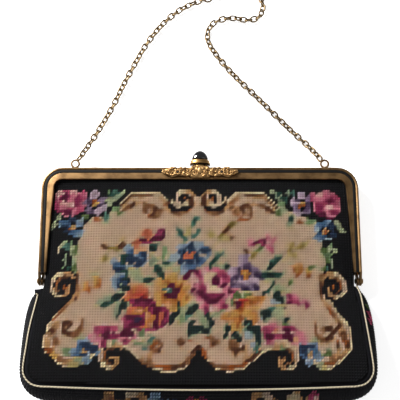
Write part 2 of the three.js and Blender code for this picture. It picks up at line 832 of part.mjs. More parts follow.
const chainRoute = [
  // middle of the chain, across the bag, above the frame's top edge, and over the surface
  { x: -69.6, up: 13.9, z: 5.2 },
  { x: -65.6, up: 21.6, z: 2.8 },
  { x: -61.5, up: 29.1, z: 2.15 },
  { x: -54.4, up: 42.5, z: 2.05 },
  { x: -48.2, up: 56.6, z: 2.05 },
  { x: -42, up: 69.3, z: 2.05 },
  { x: -34.8, up: 83.1, z: 2.05 },
  { x: -25.3, up: 96.7, z: 2.05 },
  { x: -13.8, up: 107.6, z: 2.05 },
  { x: -1.4, up: 114.2, z: 2.05 },
  { x: 8.1, up: 116.8, z: 2.05 },
  { x: 14.5, up: 120, z: 2.05 },
  { x: 21.6, up: 123.9, z: 2.05 },
  { x: 29.4, up: 125.3, z: 2.05 },
  { x: 35.6, up: 122.6, z: 2.05 },
  { x: 38.7, up: 117.5, z: 2.05 },
  { x: 40.1, up: 107.4, z: 2.05 },
  { x: 36.9, up: 102.9, z: 2.05 },
  { x: 31, up: 101.3, z: 2.05 },
  { x: 20, up: 102.6, z: 2.05 },
  { x: 11.2, up: 100.6, z: 2.05 },
  { x: 5.8, up: 95.5, z: 2.05 },
  { x: 4.7, up: 88.2, z: 2.05 },
  { x: 8.2, up: 80.4, z: 2.05 },
  { x: 19.3, up: 65.6, z: 2.05 },
  { x: 35.8, up: 48.3, z: 2.05 },
  { x: 56.6, up: 26.3, z: 2.15 },
  { x: 64, up: 18.8, z: 2.9 },
  { x: 69, up: 12.6, z: 5.2 },
];

/** The point where the chain leaves a ring, just clear of its wire. */
function chainEnd(hand, next) {
  const ring = new THREE.Vector3((hand * ringSpacing) / 2, ringY, ringZ);
  const way = next.clone().sub(ring).normalize();
  return ring.addScaledVector(way, ringRadius + ringWire / 2 + 2 * clearance);
}

/** A plain round of the chain's own width along its route: the links are too fine for solids here. */
function chain() {
  const lying = chainRoute.map(
    (p) => new THREE.Vector3(p.x, frameTop + p.up, Math.max(p.z, chainWidth / 2 + chainRise)),
  );
  const route = [chainEnd(-1, lying[0]), ...lying, chainEnd(1, lying[lying.length - 1])];
  return cordAlong(route, chainWidth, chainSteps, 8);
}

// Assembly

const bag = new THREE.Group();

function add(group, name, geometry, look) {
  const mesh = new THREE.Mesh(geometry, new THREE.MeshStandardMaterial(look));
  mesh.name = name;
  group.add(mesh);
}

add(bag, "front_panel", panel("front"), stitchedCloth);
add(bag, "back_panel", panel("back"), stitchedCloth);
add(bag, "gusset", gusset(), blackCloth);
add(bag, "piping_front", piping("front"), creamCord);
add(bag, "piping_back", piping("back"), creamCord);
add(bag, "frame_front", frameFront(), brass);
add(bag, "frame_back", frameBack(), brass);
add(bag, "enamel_line_front", enamelLine(1), enamel);
add(bag, "enamel_line_back", enamelLine(-1), enamel);
add(bag, "hinge_rivet_left", rivet(-1), agedBrass);
add(bag, "hinge_rivet_right", rivet(1), agedBrass);
add(bag, "ornament", ornament(), brass);
add(bag, "clasp_pin", claspPin(), agedBrass);
add(bag, "chain", chain(), agedBrass);

const clasp = new THREE.Group();
add(clasp, "clasp_lever", claspLever(), brass);
add(clasp, "clasp_enamel_ring", claspEnamelRing(), enamel);
add(clasp, "clasp_cabochon", claspCabochon(), onyx);
bag.add(clasp);

export default bag;
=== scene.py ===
"""Looks of a petit point evening bag that lies on its back, its chain laid out above the frame.

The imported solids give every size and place. This script works the embroidery stitch by stitch, casts the
mount, links the chain and finishes the metal, enamel, stone and cord, all in metres.
"""

import logging
import math
from dataclasses import dataclass, field
from enum import Enum
from typing import Iterable, Sequence

import bpy
import numpy as np
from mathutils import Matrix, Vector
from mathutils.bvhtree import BVHTree


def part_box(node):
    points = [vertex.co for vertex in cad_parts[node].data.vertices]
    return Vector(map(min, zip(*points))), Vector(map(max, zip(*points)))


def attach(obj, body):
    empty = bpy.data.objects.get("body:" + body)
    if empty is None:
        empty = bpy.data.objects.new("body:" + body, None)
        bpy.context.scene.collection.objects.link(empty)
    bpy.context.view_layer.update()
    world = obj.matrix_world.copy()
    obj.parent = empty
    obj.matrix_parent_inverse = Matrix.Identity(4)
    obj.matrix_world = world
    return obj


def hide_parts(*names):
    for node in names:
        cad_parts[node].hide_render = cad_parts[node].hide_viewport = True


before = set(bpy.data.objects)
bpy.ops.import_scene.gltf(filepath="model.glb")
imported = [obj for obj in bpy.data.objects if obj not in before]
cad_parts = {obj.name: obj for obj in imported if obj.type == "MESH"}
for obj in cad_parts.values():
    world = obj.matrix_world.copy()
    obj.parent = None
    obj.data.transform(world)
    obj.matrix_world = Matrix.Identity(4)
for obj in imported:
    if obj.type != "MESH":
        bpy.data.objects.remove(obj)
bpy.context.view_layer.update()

MM = 0.001
LOG = logging.getLogger("petit_point_bag")

Point = tuple[float, float]
Colour = tuple[float, float, float]


def linear(hex_colour: str) -> Colour:
    """The linear-light colour of an sRGB hex string.

    Args:
        hex_colour: Six hex digits.

    Returns:
        Red, green and blue from 0 to 1.
    """
    parts = [int(hex_colour[i : i + 2], 16) / 255 for i in (0, 2, 4)]
    return tuple(c / 12.92 if c <= 0.04045 else ((c + 0.055) / 1.055) ** 2.4 for c in parts)


# Modelling by hand


def pick_none() -> None:
    """Deselects everything."""
    bpy.ops.object.select_all(action="DESELECT")


def pick(*objects: bpy.types.Object) -> None:
    """Selects these objects alone and makes the first one active."""
    pick_none()
    for obj in objects:
        obj.select_set(True)
    bpy.context.view_layer.objects.active = objects[0]


def merged_copy(node: str, name: str) -> bpy.types.Object:
    """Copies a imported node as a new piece, with its loose triangles joined and turned back into quads.

    Args:
        node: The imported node.
        name: The new piece's name.

    Returns:
        The new piece.
    """
    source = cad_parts[node]
    piece = bpy.data.objects.new(name, source.data.copy())
    bpy.context.scene.collection.objects.link(piece)
    piece.data.materials.clear()
    pick(piece)
    bpy.ops.object.mode_set(mode="EDIT")
    bpy.ops.mesh.select_all(action="SELECT")
    bpy.ops.mesh.remove_doubles(threshold=0.002 * MM)
    bpy.ops.mesh.tris_convert_to_quads(face_threshold=math.radians(12), shape_threshold=math.radians(70))
    bpy.ops.object.mode_set(mode="OBJECT")
    return piece


def modify(piece: bpy.types.Object, kind: str, **settings: object) -> None:
    """Adds a modifier with its settings and applies it.

    Args:
        piece: The object to change.
        kind: The modifier's type.
        **settings: The modifier's properties.
    """
    pick(piece)
    modifier = piece.modifiers.new(kind.title(), kind)
    for key, value in settings.items():
        setattr(modifier, key, value)
    bpy.ops.object.modifier_apply(modifier=modifier.name)


def smooth(piece: bpy.types.Object, angle: float = 35.0) -> None:
    """Shades a piece smooth up to an angle between faces, in degrees."""
    pick(piece)
    bpy.ops.object.shade_smooth_by_angle(angle=math.radians(angle))


def joined(name: str, pieces: Sequence[bpy.types.Object]) -> bpy.types.Object:
    """Joins pieces into one with its place in its mesh.

    Args:
        name: The joined piece's name.
        pieces: What is joined.

    Returns:
        The joined piece.
    """
    pick(*pieces)
    if len(pieces) > 1:
        bpy.ops.object.join()
    whole = bpy.context.view_layer.objects.active
    bpy.ops.object.transform_apply(location=True, rotation=True, scale=True)
    whole.name = name
    whole.data.name = name
    return whole


def mesh_piece(name: str, vertices: np.ndarray, faces: Iterable[Sequence[int]]) -> bpy.types.Object:
    """Makes a piece from vertices and faces.

    Args:
        name: The piece's name.
        vertices: Places in metres, one a row.
        faces: Vertex numbers of each face.

    Returns:
        The new piece.
    """
    mesh = bpy.data.meshes.new(name)
    mesh.from_pydata(np.asarray(vertices, float).tolist(), [], [list(map(int, f)) for f in faces])
    mesh.update()
    piece = bpy.data.objects.new(name, mesh)
    bpy.context.scene.collection.objects.link(piece)
    return piece


def turned(name: str, profile: Sequence[Point], sides: int = 64) -> bpy.types.Object:
    """Turns a profile about the Y axis with the spin operator.

    Args:
        name: The piece's name.
        profile: Radius and height pairs from bottom to top, in metres, which start and end on the axis.
        sides: Steps of the turn.

    Returns:
        The turned solid, with its axis through the origin.
    """
    line = [(radius, height, 0.0) for radius, height in profile]
    piece = mesh_piece(name, np.array(line), [])
    piece.data.edges.add(len(line) - 1)
    for k, edge in enumerate(piece.data.edges):
        edge.vertices = (k, k + 1)
    pick(piece)
    bpy.ops.object.mode_set(mode="EDIT")
    bpy.ops.mesh.select_all(action="SELECT")
    bpy.ops.mesh.spin(steps=sides, angle=2 * math.pi, center=(0, 0, 0), axis=(0, 1, 0))
    bpy.ops.mesh.select_all(action="SELECT")
    bpy.ops.mesh.remove_doubles(threshold=0.002 * MM)
    bpy.ops.mesh.normals_make_consistent(inside=False)
    bpy.ops.object.mode_set(mode="OBJECT")
    return piece


def tube(
    name: str, line: np.ndarray, radius: float, sides: int = 12, closed: bool = False
) -> bpy.types.Object:
    """A round tube along a line of points, with a map that runs along and round it in metres.

    Args:
        name: The piece's name.
        line: Points of its middle, in metres.
        radius: Half its thickness.
        sides: Corners of its section.
        closed: Whether it ends where it starts.

    Returns:
        The tube.
    """
    count = len(line)
    ahead = np.roll(line, -1, axis=0) - np.roll(line, 1, axis=0)
    if not closed:
        ahead[0], ahead[-1] = line[1] - line[0], line[-1] - line[-2]
    ahead /= np.linalg.norm(ahead, axis=1)[:, None]
    across = np.empty_like(line)
    guide = np.array([0.0, 0.0, 1.0]) if abs(ahead[0][2]) < 0.9 else np.array([1.0, 0.0, 0.0])
    for k in range(count):
        guide = guide - guide @ ahead[k] * ahead[k]
        guide /= np.linalg.norm(guide)
        across[k] = guide
    other = np.cross(ahead, across)
    turn = 2 * np.pi * np.arange(sides) / sides
    ring = np.cos(turn)[None, :, None] * across[:, None] + np.sin(turn)[None, :, None] * other[:, None]
    vertices = (line[:, None] + radius * ring).reshape(-1, 3)
    faces = []
    runs = count if closed else count - 1
    for k in range(runs):
        n = (k + 1) % count
        for s in range(sides):
            t = (s + 1) % sides
            faces.append((k * sides + s, k * sides + t, n * sides + t, n * sides + s))
    if not closed:
        faces.append(tuple(reversed(range(sides))))
        faces.append(tuple((count - 1) * sides + s for s in range(sides)))
    piece = mesh_piece(name, vertices, faces)
    pick(piece)
    bpy.ops.object.mode_set(mode="EDIT")
    bpy.ops.mesh.select_all(action="SELECT")
    bpy.ops.mesh.normals_make_consistent(inside=False)
    bpy.ops.object.mode_set(mode="OBJECT")
    bpy.ops.object.shade_smooth()
    lengths = np.linalg.norm(np.diff(line, axis=0, append=line[:1] if closed else line[-1:]), axis=1)
    start = np.concatenate([[0.0], np.cumsum(lengths)])
    layer = piece.data.uv_layers.new(name="cord")
    loop_vertex = np.array([loop.vertex_index for loop in piece.data.loops])
    ring_of, side_of = loop_vertex // sides, loop_vertex % sides
    layer.data.foreach_set("uv", np.c_[start[ring_of], side_of / sides].astype(np.float32).ravel())
    return piece


def bead(name: str, place: Sequence[float], radii: Sequence[float], turn: float) -> bpy.types.Object:
    """An oval bead, in millimetres.

    Args:
        name: The piece's name.
        place: Its middle.
        radii: Its reach along, across and up.
        turn: Its turn about Z in degrees.

    Returns:
        The bead.
    """
    pick_none()
    bpy.ops.mesh.primitive_uv_sphere_add(segments=12, ring_count=8, radius=MM)
    piece = bpy.context.object
    piece.name = name
    piece.scale = radii
    piece.rotation_euler[2] = math.radians(turn)
    piece.location = [v * MM for v in place]
    bpy.ops.object.transform_apply(location=True, rotation=True, scale=True)
    return piece


def spline(p: np.ndarray, steps: int) -> np.ndarray:
    """Points along a Catmull-Rom line, between its second point and its last but one.

    Args:
        p: The line's points, with one more before the start and after the end.
        steps: New points for each given one.

    Returns:
        The new points, without the last end.
    """
    t = np.linspace(0, 1, steps, endpoint=False)[:, None]
    runs = []
    for a, b, c, d in zip(p, p[1:], p[2:], p[3:]):
        bend = (2 * a - 5 * b + 4 * c - d) * t**2 + (3 * b - a - 3 * c + d) * t**3
        runs.append(0.5 * (2 * b + (c - a) * t + bend))
    return np.vstack(runs)


def resampled(points: Sequence[Sequence[float]], step: float) -> np.ndarray:
    """A smooth line through points with even steps.

    Args:
        points: The points that it passes through.
        step: Distance from one new point to the next.

    Returns:
        The new points, one a row.
    """
    p = np.array(points, float)
    p = np.vstack([2 * p[0] - p[1], p, 2 * p[-1] - p[-2]])
    fine = np.vstack([spline(p, 12), p[-2]])
    along = np.concatenate([[0.0], np.cumsum(np.linalg.norm(np.diff(fine, axis=0), axis=1))])
    places = np.linspace(0.0, along[-1], max(2, round(along[-1] / step) + 1))
    return np.stack([np.interp(places, along, fine[:, k]) for k in range(3)], axis=1)


class Thread(Enum):
    """Threads of the embroidery, as sRGB hex colours."""

    BLACK = "101013"
    FIELD = "dabb9e"
    ROSY_FIELD = "dcb39c"
    CREAM = "e8cda4"
    TAN = "c6925f"
    BROWN = "8f5a36"
    UMBER = "5b3320"
    BLUSH = "efbcb0"
    PINK = "dd7f92"
    ROSE = "c04a6e"
    MAGENTA = "9a2c55"
    WINE = "5f1236"
    CORAL = "d56a49"
    RED = "c9382f"
    PEACH = "e2a878"
    ORANGE = "d2843a"
    GOLD = "d6a552"
    RUST = "a8541f"
    STRAW = "c4ab6c"
    OLIVE = "97803a"
    BUD = "b5bb90"
    SAGE = "929f80"
    GREEN = "7d9868"
    MOSS = "60763f"
    SPRUCE = "4f7c6d"
    PINE = "24483e"
    DEEP = "1a2d2c"
    MIST = "a9b6bf"
    SKY = "8098b2"
    BLUE = "48698f"
    NAVY = "263752"
    LILAC = "c9afbf"
    MAUVE = "8f7695"
    PLUM = "56415f"
    GRAPE = "38284a"


THREADS = list(Thread)
T = Thread


PALE = {
    T.BUD: (T.MOSS, T.GREEN, T.SAGE),
    T.SAGE: (T.PINE, T.DEEP, T.SPRUCE),
    T.STRAW: (T.OLIVE, T.BUD),
    T.BLUSH: (T.PINK, T.ROSE, T.MAGENTA),
    T.PEACH: (T.ORANGE, T.CORAL, T.GOLD),
    T.MIST: (T.BLUE, T.SKY, T.NAVY),
    T.LILAC: (T.MAUVE, T.PLUM),
    T.TAN: (T.BROWN, T.UMBER),
}


class Chart:
    """A counted chart: one thread for each stitch, with columns from the middle and rows from the top."""

    def __init__(self, columns: int, rows: int, ground: Thread) -> None:
        """Starts a chart in one thread.

        Args:
            columns: Stitches across.
            rows: Stitches down.
            ground: The thread of the ground.
        """
        self.col, self.row = np.meshgrid(np.arange(columns) - (columns - 1) / 2, np.arange(rows) + 0.5)
        self.index = np.full(self.col.shape, THREADS.index(ground))

    def lay(self, where: np.ndarray, thread: Thread) -> None:
        """Works the marked stitches in a thread."""
        self.index[where] = THREADS.index(thread)

    def shade(self, where: np.ndarray, tone: np.ndarray, threads: Sequence[Thread]) -> None:
        """Works stitches in several threads.

        Args:
            where: The stitches to work.
            tone: From 0, the first thread, to 1, the last.
            threads: The threads in order.
        """
        step = np.clip((tone * len(threads)).astype(int), 0, len(threads) - 1)
        for k, thread in enumerate(threads):
            self.lay(where & (step == k), thread)

    def polar(self, col: float, row: float, squeeze: float = 1.0) -> tuple[np.ndarray, np.ndarray]:
        """Each stitch's distance and direction from a point.

        Args:
            col: The point's column.
            row: The point's row.
            squeeze: Height of a ring over its width.

        Returns:
            Distances in stitches, and angles from the right, counterclockwise.
        """
        across, down = self.col - col, (self.row - row) / squeeze
        return np.hypot(across, down), np.arctan2(-down, across)

    def mingle(self, share: float, seed: int) -> None:
        """Lets some stitches of the flowers take the thread of the next one.

        Args:
            share: Share of the stitches.
            seed: Seed of the choice.
        """
        dice = np.random.default_rng(seed)
        plain = [THREADS.index(thread) for thread in (T.BLACK, T.FIELD, T.CREAM)]
        for axis, step in ((0, 1), (1, 1), (0, -1), (1, -1)):
            beside = np.roll(self.index, step, axis)
            free = ~np.isin(self.index, plain) & ~np.isin(beside, plain)
            stray = free & (dice.random(self.index.shape) < share / 4)
            self.index[stray] = beside[stray]

    def soften(self, share: float, seed: int) -> None:
        """Works pale companions of the motifs' threads into the field beside them.

        Args:
            share: Share of the stitches beside a motif.
            seed: Seed of the choice.
        """
        dice = np.random.default_rng(seed)
        ground = self.index == THREADS.index(T.FIELD)
        for axis, step in ((0, 1), (1, 1), (0, -1), (1, -1)):
            beside = np.roll(self.index, step, axis)
            chance = dice.random(self.index.shape) < share
            for pale, deep in PALE.items():
                near = np.isin(beside, [THREADS.index(thread) for thread in deep])
                self.lay(ground & near & chance, pale)

    def colours(self) -> np.ndarray:
        """Every stitch's colour in linear light, by row and column."""
        table = np.array([linear(thread.value) for thread in THREADS])
        return table[self.index]


def curve(points: Sequence[Point], closed: bool = False) -> np.ndarray:
    """A smooth line on the chart.

    Args:
        points: Columns and rows that it passes through.
        closed: Whether it comes back to its start.

    Returns:
        Points close together along the line.
    """
    p = np.array(points, float)
    p = np.vstack([p[-1], p, p[:2]]) if closed else np.vstack([2 * p[0] - p[1], p, 2 * p[-1] - p[-2]])
    line = spline(p, 6)
    return line if closed else np.vstack([line, p[-2]])


def distance(chart: Chart, line: np.ndarray) -> tuple[np.ndarray, np.ndarray]:
    """How far each stitch is from a line.

    Args:
        chart: The chart.
        line: Points along the line.

    Returns:
        Distances in stitches, and the nearest place as a share of the line's length.
    """
    best = np.full(chart.col.shape, 1e9)
    where = np.zeros(chart.col.shape)
    lengths = np.hypot(*np.diff(line, axis=0).T)
    start = np.concatenate([[0.0], np.cumsum(lengths)])
    for k, (a, b) in enumerate(zip(line, line[1:])):
        way = b - a
        size = max(float(way @ way), 1e-9)
        t = np.clip(((chart.col - a[0]) * way[0] + (chart.row - a[1]) * way[1]) / size, 0, 1)
        away = np.hypot(chart.col - a[0] - t * way[0], chart.row - a[1] - t * way[1])
        near = away < best
        best[near] = away[near]
        where[near] = (start[k] + t[near] * lengths[k]) / start[-1]
    return best, where


def within(chart: Chart, line: np.ndarray) -> np.ndarray:
    """The stitches inside a closed line.

    Args:
        chart: The chart.
        line: Points round the line.

    Returns:
        True for each stitch inside.
    """
    inside = np.zeros(chart.col.shape, bool)
    for a, b in zip(line, np.roll(line, -1, axis=0)):
        crosses = (a[1] > chart.row) != (b[1] > chart.row)
        rise = b[1] - a[1] if b[1] != a[1] else 1e-9
        inside ^= crosses & (chart.col < (b[0] - a[0]) * (chart.row - a[1]) / rise + a[0])
    return inside


@dataclass(frozen=True)
class Flower:
    """An open flower with rounded petals."""

    col: float
    row: float
    radius: float
    petals: int
    threads: tuple[Thread, ...]
    heart: tuple[Thread, ...]
    heart_radius: float = 1.6
    turn: float = 90.0
    notch: float = 0.35
    squeeze: float = 1.0

    def work(self, chart: Chart) -> None:
        """Works the flower on a chart."""
        away, angle = chart.polar(self.col, self.row, self.squeeze)
        lobe = np.abs(np.cos(self.petals * (angle - math.radians(self.turn)) / 2))
        edge = self.radius * (1 - self.notch * (1 - lobe) ** 1.3)
        share = away / edge
        tone = 0.15 + 0.75 * share * (0.35 + 0.65 * lobe) + 0.12 * np.cos(angle - 2.2)
        chart.shade(share <= 1, tone, self.threads)
        core = away / self.heart_radius
        chart.shade(core <= 1, core, self.heart)


@dataclass(frozen=True)
class Stroke:
    """A worked line, such as a stem or an edging."""

    points: tuple[Point, ...]
    width: float
    threads: tuple[Thread, ...]

    def work(self, chart: Chart) -> None:
        """Works the line on a chart."""
        away, where = distance(chart, curve(self.points))
        chart.shade(away <= self.width / 2, where % 1.0, self.threads)


@dataclass(frozen=True)
class Dabs:
    """Small ovals in one thread, each with its column, row, length, breadth and turn in degrees."""

    thread: Thread
    places: tuple[tuple[float, ...], ...]

    def work(self, chart: Chart) -> None:
        """Works the ovals on a chart."""
        for col, row, length, *rest in self.places:
            breadth, turn = (*rest, *(length, 0.0)[len(rest) :])
            across, down = chart.col - col, row - chart.row
            c, s = math.cos(math.radians(turn)), math.sin(math.radians(turn))
            along, aside = across * c + down * s, down * c - across * s
            chart.lay((2 * along / length) ** 2 + (2 * aside / breadth) ** 2 <= 1.05, self.thread)


@dataclass(frozen=True)
class Cartouche:
    """The light field with its cream edging."""

    outline: tuple[Point, ...]
    edging: float = 1.1
    edged_above: float = 15.0
    edged_below: float = 46.0

    def work(self, chart: Chart) -> None:
        """Works the field and its edging on a chart."""
        line = curve(self.outline, closed=True)
        light = within(chart, line)
        chart.lay(light, T.FIELD)
        away, _ = distance(chart, np.vstack([line, line[:1]]))
        edged = light & ((chart.row < self.edged_above) | (chart.row > self.edged_below))
        chart.lay(edged & (away <= self.edging), T.CREAM)


FRONT_OUTLINE = (
    (0, 7), (1.5, 5.6), (3.5, 4.9), (6, 4.9), (7.6, 6.4), (8.6, 8.8), (10.5, 8.6), (12.5, 6.4), (15, 5),
    (20, 4.8), (24, 5), (26, 6), (28.5, 8), (31, 10.8), (33, 12.5), (36, 13), (40, 15), (44, 17),
    (46.5, 20), (47.5, 25), (47.8, 29), (48.6, 33), (48, 36), (47.2, 38), (46.9, 42), (47.2, 46),
    (49.3, 47.6), (51, 50), (53, 53), (54.8, 55.2), (56.2, 57.5), (56.6, 61.5), (56.3, 65), (54.5, 67.6),
    (52, 70), (49, 72), (46, 73.2), (43.5, 72), (41, 70.6), (38, 68), (35, 66.4), (31, 66), (28, 65.9),
    (25, 66.4), (22.6, 67.6), (20, 69.6), (17.2, 71.6), (14.5, 73.3), (8, 73.4), (5, 72.2), (2.6, 70),
    (0.8, 67.4), (-0.6, 66), (-2, 67), (-3.4, 69.6), (-5.2, 71.8), (-8, 73.5), (-15, 73.4), (-17.8, 72),
    (-20.6, 70.4), (-23.6, 68.4), (-26, 66.4), (-29, 64.6), (-33, 64.6), (-37, 66), (-40, 69), (-43, 70.6),
    (-46, 72.3), (-49.5, 71.8), (-52.5, 70.2), (-55.5, 67.8), (-58.4, 64.8), (-58.2, 61), (-57.3, 57),
    (-55.3, 53.6), (-52, 50.4), (-49.8, 47.4), (-48.2, 45.6), (-47.6, 42), (-47.8, 38), (-48.6, 36),
    (-48.8, 32), (-48, 28), (-47.6, 25), (-46.5, 22.6), (-45, 18), (-42, 15.5), (-38, 15), (-35, 13.5),
    (-33, 12), (-31, 9.4), (-28.6, 6.6), (-26.2, 4.8), (-18, 4.6), (-16.2, 5), (-14.6, 6.6), (-12.6, 8.6),
    (-10.4, 8.6), (-9.2, 6.4), (-7.6, 4.8), (-4.4, 4.6), (-2.6, 5.8), (-1.4, 6.8),
)

SCROLLWORK = (
    # brown bars under the arches, and the brown lines within the lower lobes
    Stroke(((-31.6, 11), (-29, 8.4), (-26.4, 6.5), (-19, 6.4)), 1.1, (T.UMBER, T.BROWN)),
    Stroke(((-29.6, 12.6), (-27, 10.6), (-25.4, 9.8), (-22.6, 9.4)), 1.7, (T.BROWN, T.UMBER, T.TAN)),
    Stroke(((18, 6.5), (24.5, 6.6), (26.5, 8), (30.5, 11.8)), 1.1, (T.UMBER, T.BROWN, T.UMBER)),
    Stroke(((20.5, 10.2), (24.5, 10.6), (26.5, 12), (28.4, 13.4)), 1.6, (T.TAN, T.BROWN, T.UMBER)),
    Stroke(((15, 6.6), (13.2, 8.6), (11, 10.6)), 1.2, (T.TAN, T.BROWN, T.RUST)),
    Stroke(((-15.6, 7.6), (-13.6, 9.6), (-13, 11)), 1.2, (T.TAN, T.BROWN)),
    Stroke(((-48, 46), (-49.4, 48.6), (-52.6, 52), (-55, 54.6)), 1.3, (T.TAN, T.BROWN, T.RUST)),
    Stroke(((-53.6, 56.6), (-55.8, 59.6)), 2.6, (T.TAN, T.BROWN, T.UMBER)),
    Stroke(((-57, 62), (-56.2, 65.4), (-53, 68.2), (-50, 69.6), (-47, 70.4)), 2.0, (T.TAN, T.RUST, T.GOLD,
        T.BROWN, T.TAN)),
    Stroke(((46.6, 38), (46.2, 42), (46.2, 46.4)), 1.6, (T.BROWN, T.UMBER, T.TAN)),
    Stroke(((46.6, 47.8), (49, 51), (51.4, 54.6), (52.6, 57.4)), 1.8, (T.TAN, T.RUST, T.BROWN, T.TAN,
        T.BROWN)),
    Stroke(((51.6, 57.6), (53.4, 61), (54.6, 64.6)), 2.4, (T.UMBER, T.BROWN, T.RUST)),
    Stroke(((54.4, 65.6), (51.4, 68.4), (48, 70.4), (45.6, 70.8)), 1.3, (T.TAN, T.BROWN, T.RUST)),
    Stroke(((51, 62.6), (51.2, 66.4), (47.6, 69)), 1.2, (T.RUST, T.TAN, T.BROWN)),
    Stroke(((-47, 38), (-46.8, 42), (-46.6, 47)), 1.5, (T.UMBER, T.BROWN, T.TAN)),
    Stroke(((-22, 69.4), (-19, 71), (-15.6, 71.8), (-8, 71.8), (-5, 70)), 1.2, (T.BROWN, T.RUST, T.UMBER)),
    Stroke(((22.6, 66), (19.6, 68.4), (16.4, 70.8), (13.6, 71.8), (6.6, 71.8), (3.6, 70)), 1.2, (T.UMBER,
        T.RUST, T.BROWN)),
    Stroke(((-4.4, 70.4), (-3, 68), (-1.8, 65.8), (-0.4, 64.8), (0.8, 65.8), (2.4, 68.6)), 1.5, (T.BROWN,
        T.UMBER, T.RUST)),
    # rosettes and hooks
    Stroke(((-21.6, 13), (-21.2, 11.4), (-19.4, 10.6), (-17.6, 11.6), (-17.8, 13.6), (-19.4, 15)), 1.6,
        (T.BROWN, T.UMBER)),
    Stroke(((19.8, 15), (20, 12), (18.4, 10.8), (16.6, 11.6), (17.2, 13.8)), 1.7, (T.BROWN, T.UMBER)),
    Dabs(T.BROWN, ((-15.6, 13, 3, 1.3, 40), (-18, 15.8, 5, 1.3), (13.8, 13.4, 1.6, 2.6),
        (12.6, 11.6, 1.4, 2))),
    Dabs(T.RUST, ((17, 16.2, 5, 1.3), (-20.4, 15, 1.6, 1.4), (15.6, 15, 2, 1.2, -30))),
    Stroke(((-44, 54.6), (-44.4, 58), (-46.4, 60), (-49.6, 59.8), (-51.2, 57.6), (-50, 55.6), (-48.2, 56)),
        1.6, (T.BROWN, T.UMBER)),
    Stroke(((43, 56.4), (43, 59.4), (44.8, 61.6), (47.6, 61.6), (49.4, 59.6), (48.4, 57.6), (46.6, 58.6)),
        1.6, (T.BROWN, T.UMBER)),
    Dabs(T.UMBER, ((-48.6, 56.8, 2.2, 1.6), (47.4, 58.4, 2.4, 1.8), (-53.6, 62.8, 1.4, 1.4),
        (50.8, 64, 1.2, 1.6))),
    Dabs(T.BROWN, ((-53.6, 62.6, 2.6, 2.6), (-15.6, 66, 3.4, 2.4), (-7, 63, 3.6, 3.4), (4.6, 63, 3, 3.4),
        (13, 64.4, 3.6, 3))),
    Stroke(((-13.8, 64), (-15.6, 63), (-17.6, 64.6), (-18.4, 67), (-18.6, 69.4)), 1.3, (T.BROWN, T.RUST,
        T.TAN)),
    Stroke(((11.6, 62.4), (11, 65.4), (13.4, 67), (15.6, 65), (16.6, 67), (16.6, 69.6)), 1.3, (T.BROWN,
        T.UMBER, T.TAN)),
    Dabs(T.UMBER, ((-6.4, 63.6, 1.8, 1.8), (5, 63.8, 1.8, 1.6), (-15.4, 66.2, 1.8, 1.2), (13, 65.6, 2, 1.4))),
    Dabs(T.RUST, ((-3.4, 62.4, 2, 1.2), (2.4, 61.6, 2.4, 1), (-16.6, 63.6, 1.6, 1))),
    # the pair of curls at the top
    Dabs(T.BLACK, ((-10.6, 6.4, 2.6, 6), (9.4, 6.4, 2.6, 6), (-6, 8, 5, 4), (5, 8, 4, 4))),
    Stroke(((-3.2, 10.8), (-5.4, 13.2), (-9, 13.8), (-12.4, 12.4), (-13.6, 10.6)), 1.4, (T.RUST, T.BROWN,
        T.UMBER, T.TAN)),
    Stroke(((2, 11.4), (4, 13.6), (7.4, 13.8), (10.4, 12), (12, 10.2)), 1.4, (T.RUST, T.BROWN, T.UMBER,
        T.TAN)),
    Stroke(((-3, 8), (-3.6, 10.8), (-6, 12.2), (-9.6, 12.4), (-12.2, 10.4)), 1.9, (T.UMBER, T.BLACK,
        T.BLACK, T.BLACK)),
    Stroke(((1.6, 8), (2, 10.8), (4.2, 12.4), (7.4, 12.2), (10, 10.2)), 1.9, (T.UMBER, T.BLACK, T.BLACK,
        T.BLACK)),
    Stroke(((-2.4, 6.6), (-4.6, 4.9), (-7.4, 4.9), (-9, 6.8), (-8.6, 9.6), (-6.4, 10.6), (-5, 9.2)), 1.7,
        (T.TAN, T.CREAM, T.FIELD, T.CREAM)),
    Stroke(((1.4, 6.6), (3.4, 4.9), (6, 5), (7.4, 7), (7, 9.8), (5, 10.6), (3.8, 9.2)), 1.7, (T.TAN,
        T.CREAM, T.FIELD, T.CREAM)),
    Dabs(T.RUST, ((-6, 7.6, 1.6, 1.4), (5, 7.8, 1.4, 1.4))),
    Dabs(T.CREAM, ((-11, 8.4, 1.2, 1.4), (9.8, 8.2, 1, 2))),
)


def curl(col: float, row: float, size: float, hand: int, thread: Thread) -> tuple[object, ...]:
    """A cream curl on black, with a brown line inside it.

    Args:
        col: Column of its middle.
        row: Row of its middle.
        size: Its size, as a share of the largest.
        hand: 1 for a curl that comes from its right, -1 from its left.
        thread: Thread of its heart.

    Returns:
        The motifs, from the ground up.
    """

    def at(*places: Point) -> tuple[Point, ...]:
        """Places round the curl's middle, in stitches."""
        return tuple((col + hand * size * x, row + size * y) for x, y in places)

    rim = at((4.6, -2.6), (3.2, -3.8), (1.2, -4.5), (-1.8, -4.1), (-3.8, -1.9), (-4, 1.2), (-2.4, 3.8),
        (0.6, 4.5), (2.6, 3.2), (2.7, 1))
    line = at((1.4, -2.6), (-1, -2.6), (-2.3, -0.8), (-2.2, 1.4), (-0.6, 2.8))
    return (
        Dabs(T.BLACK, ((col, row, 7.6 * size, 8 * size),)),
        Stroke(line, 1.2, (T.UMBER, T.BROWN, T.RUST, T.BROWN)),
        Stroke(rim, 1.7 * size, (T.TAN, T.CREAM, T.FIELD, T.CREAM, T.TAN)),
        Dabs(thread, ((*at((0.8, 0.6))[0], 1.8, 1.5),)),
    )


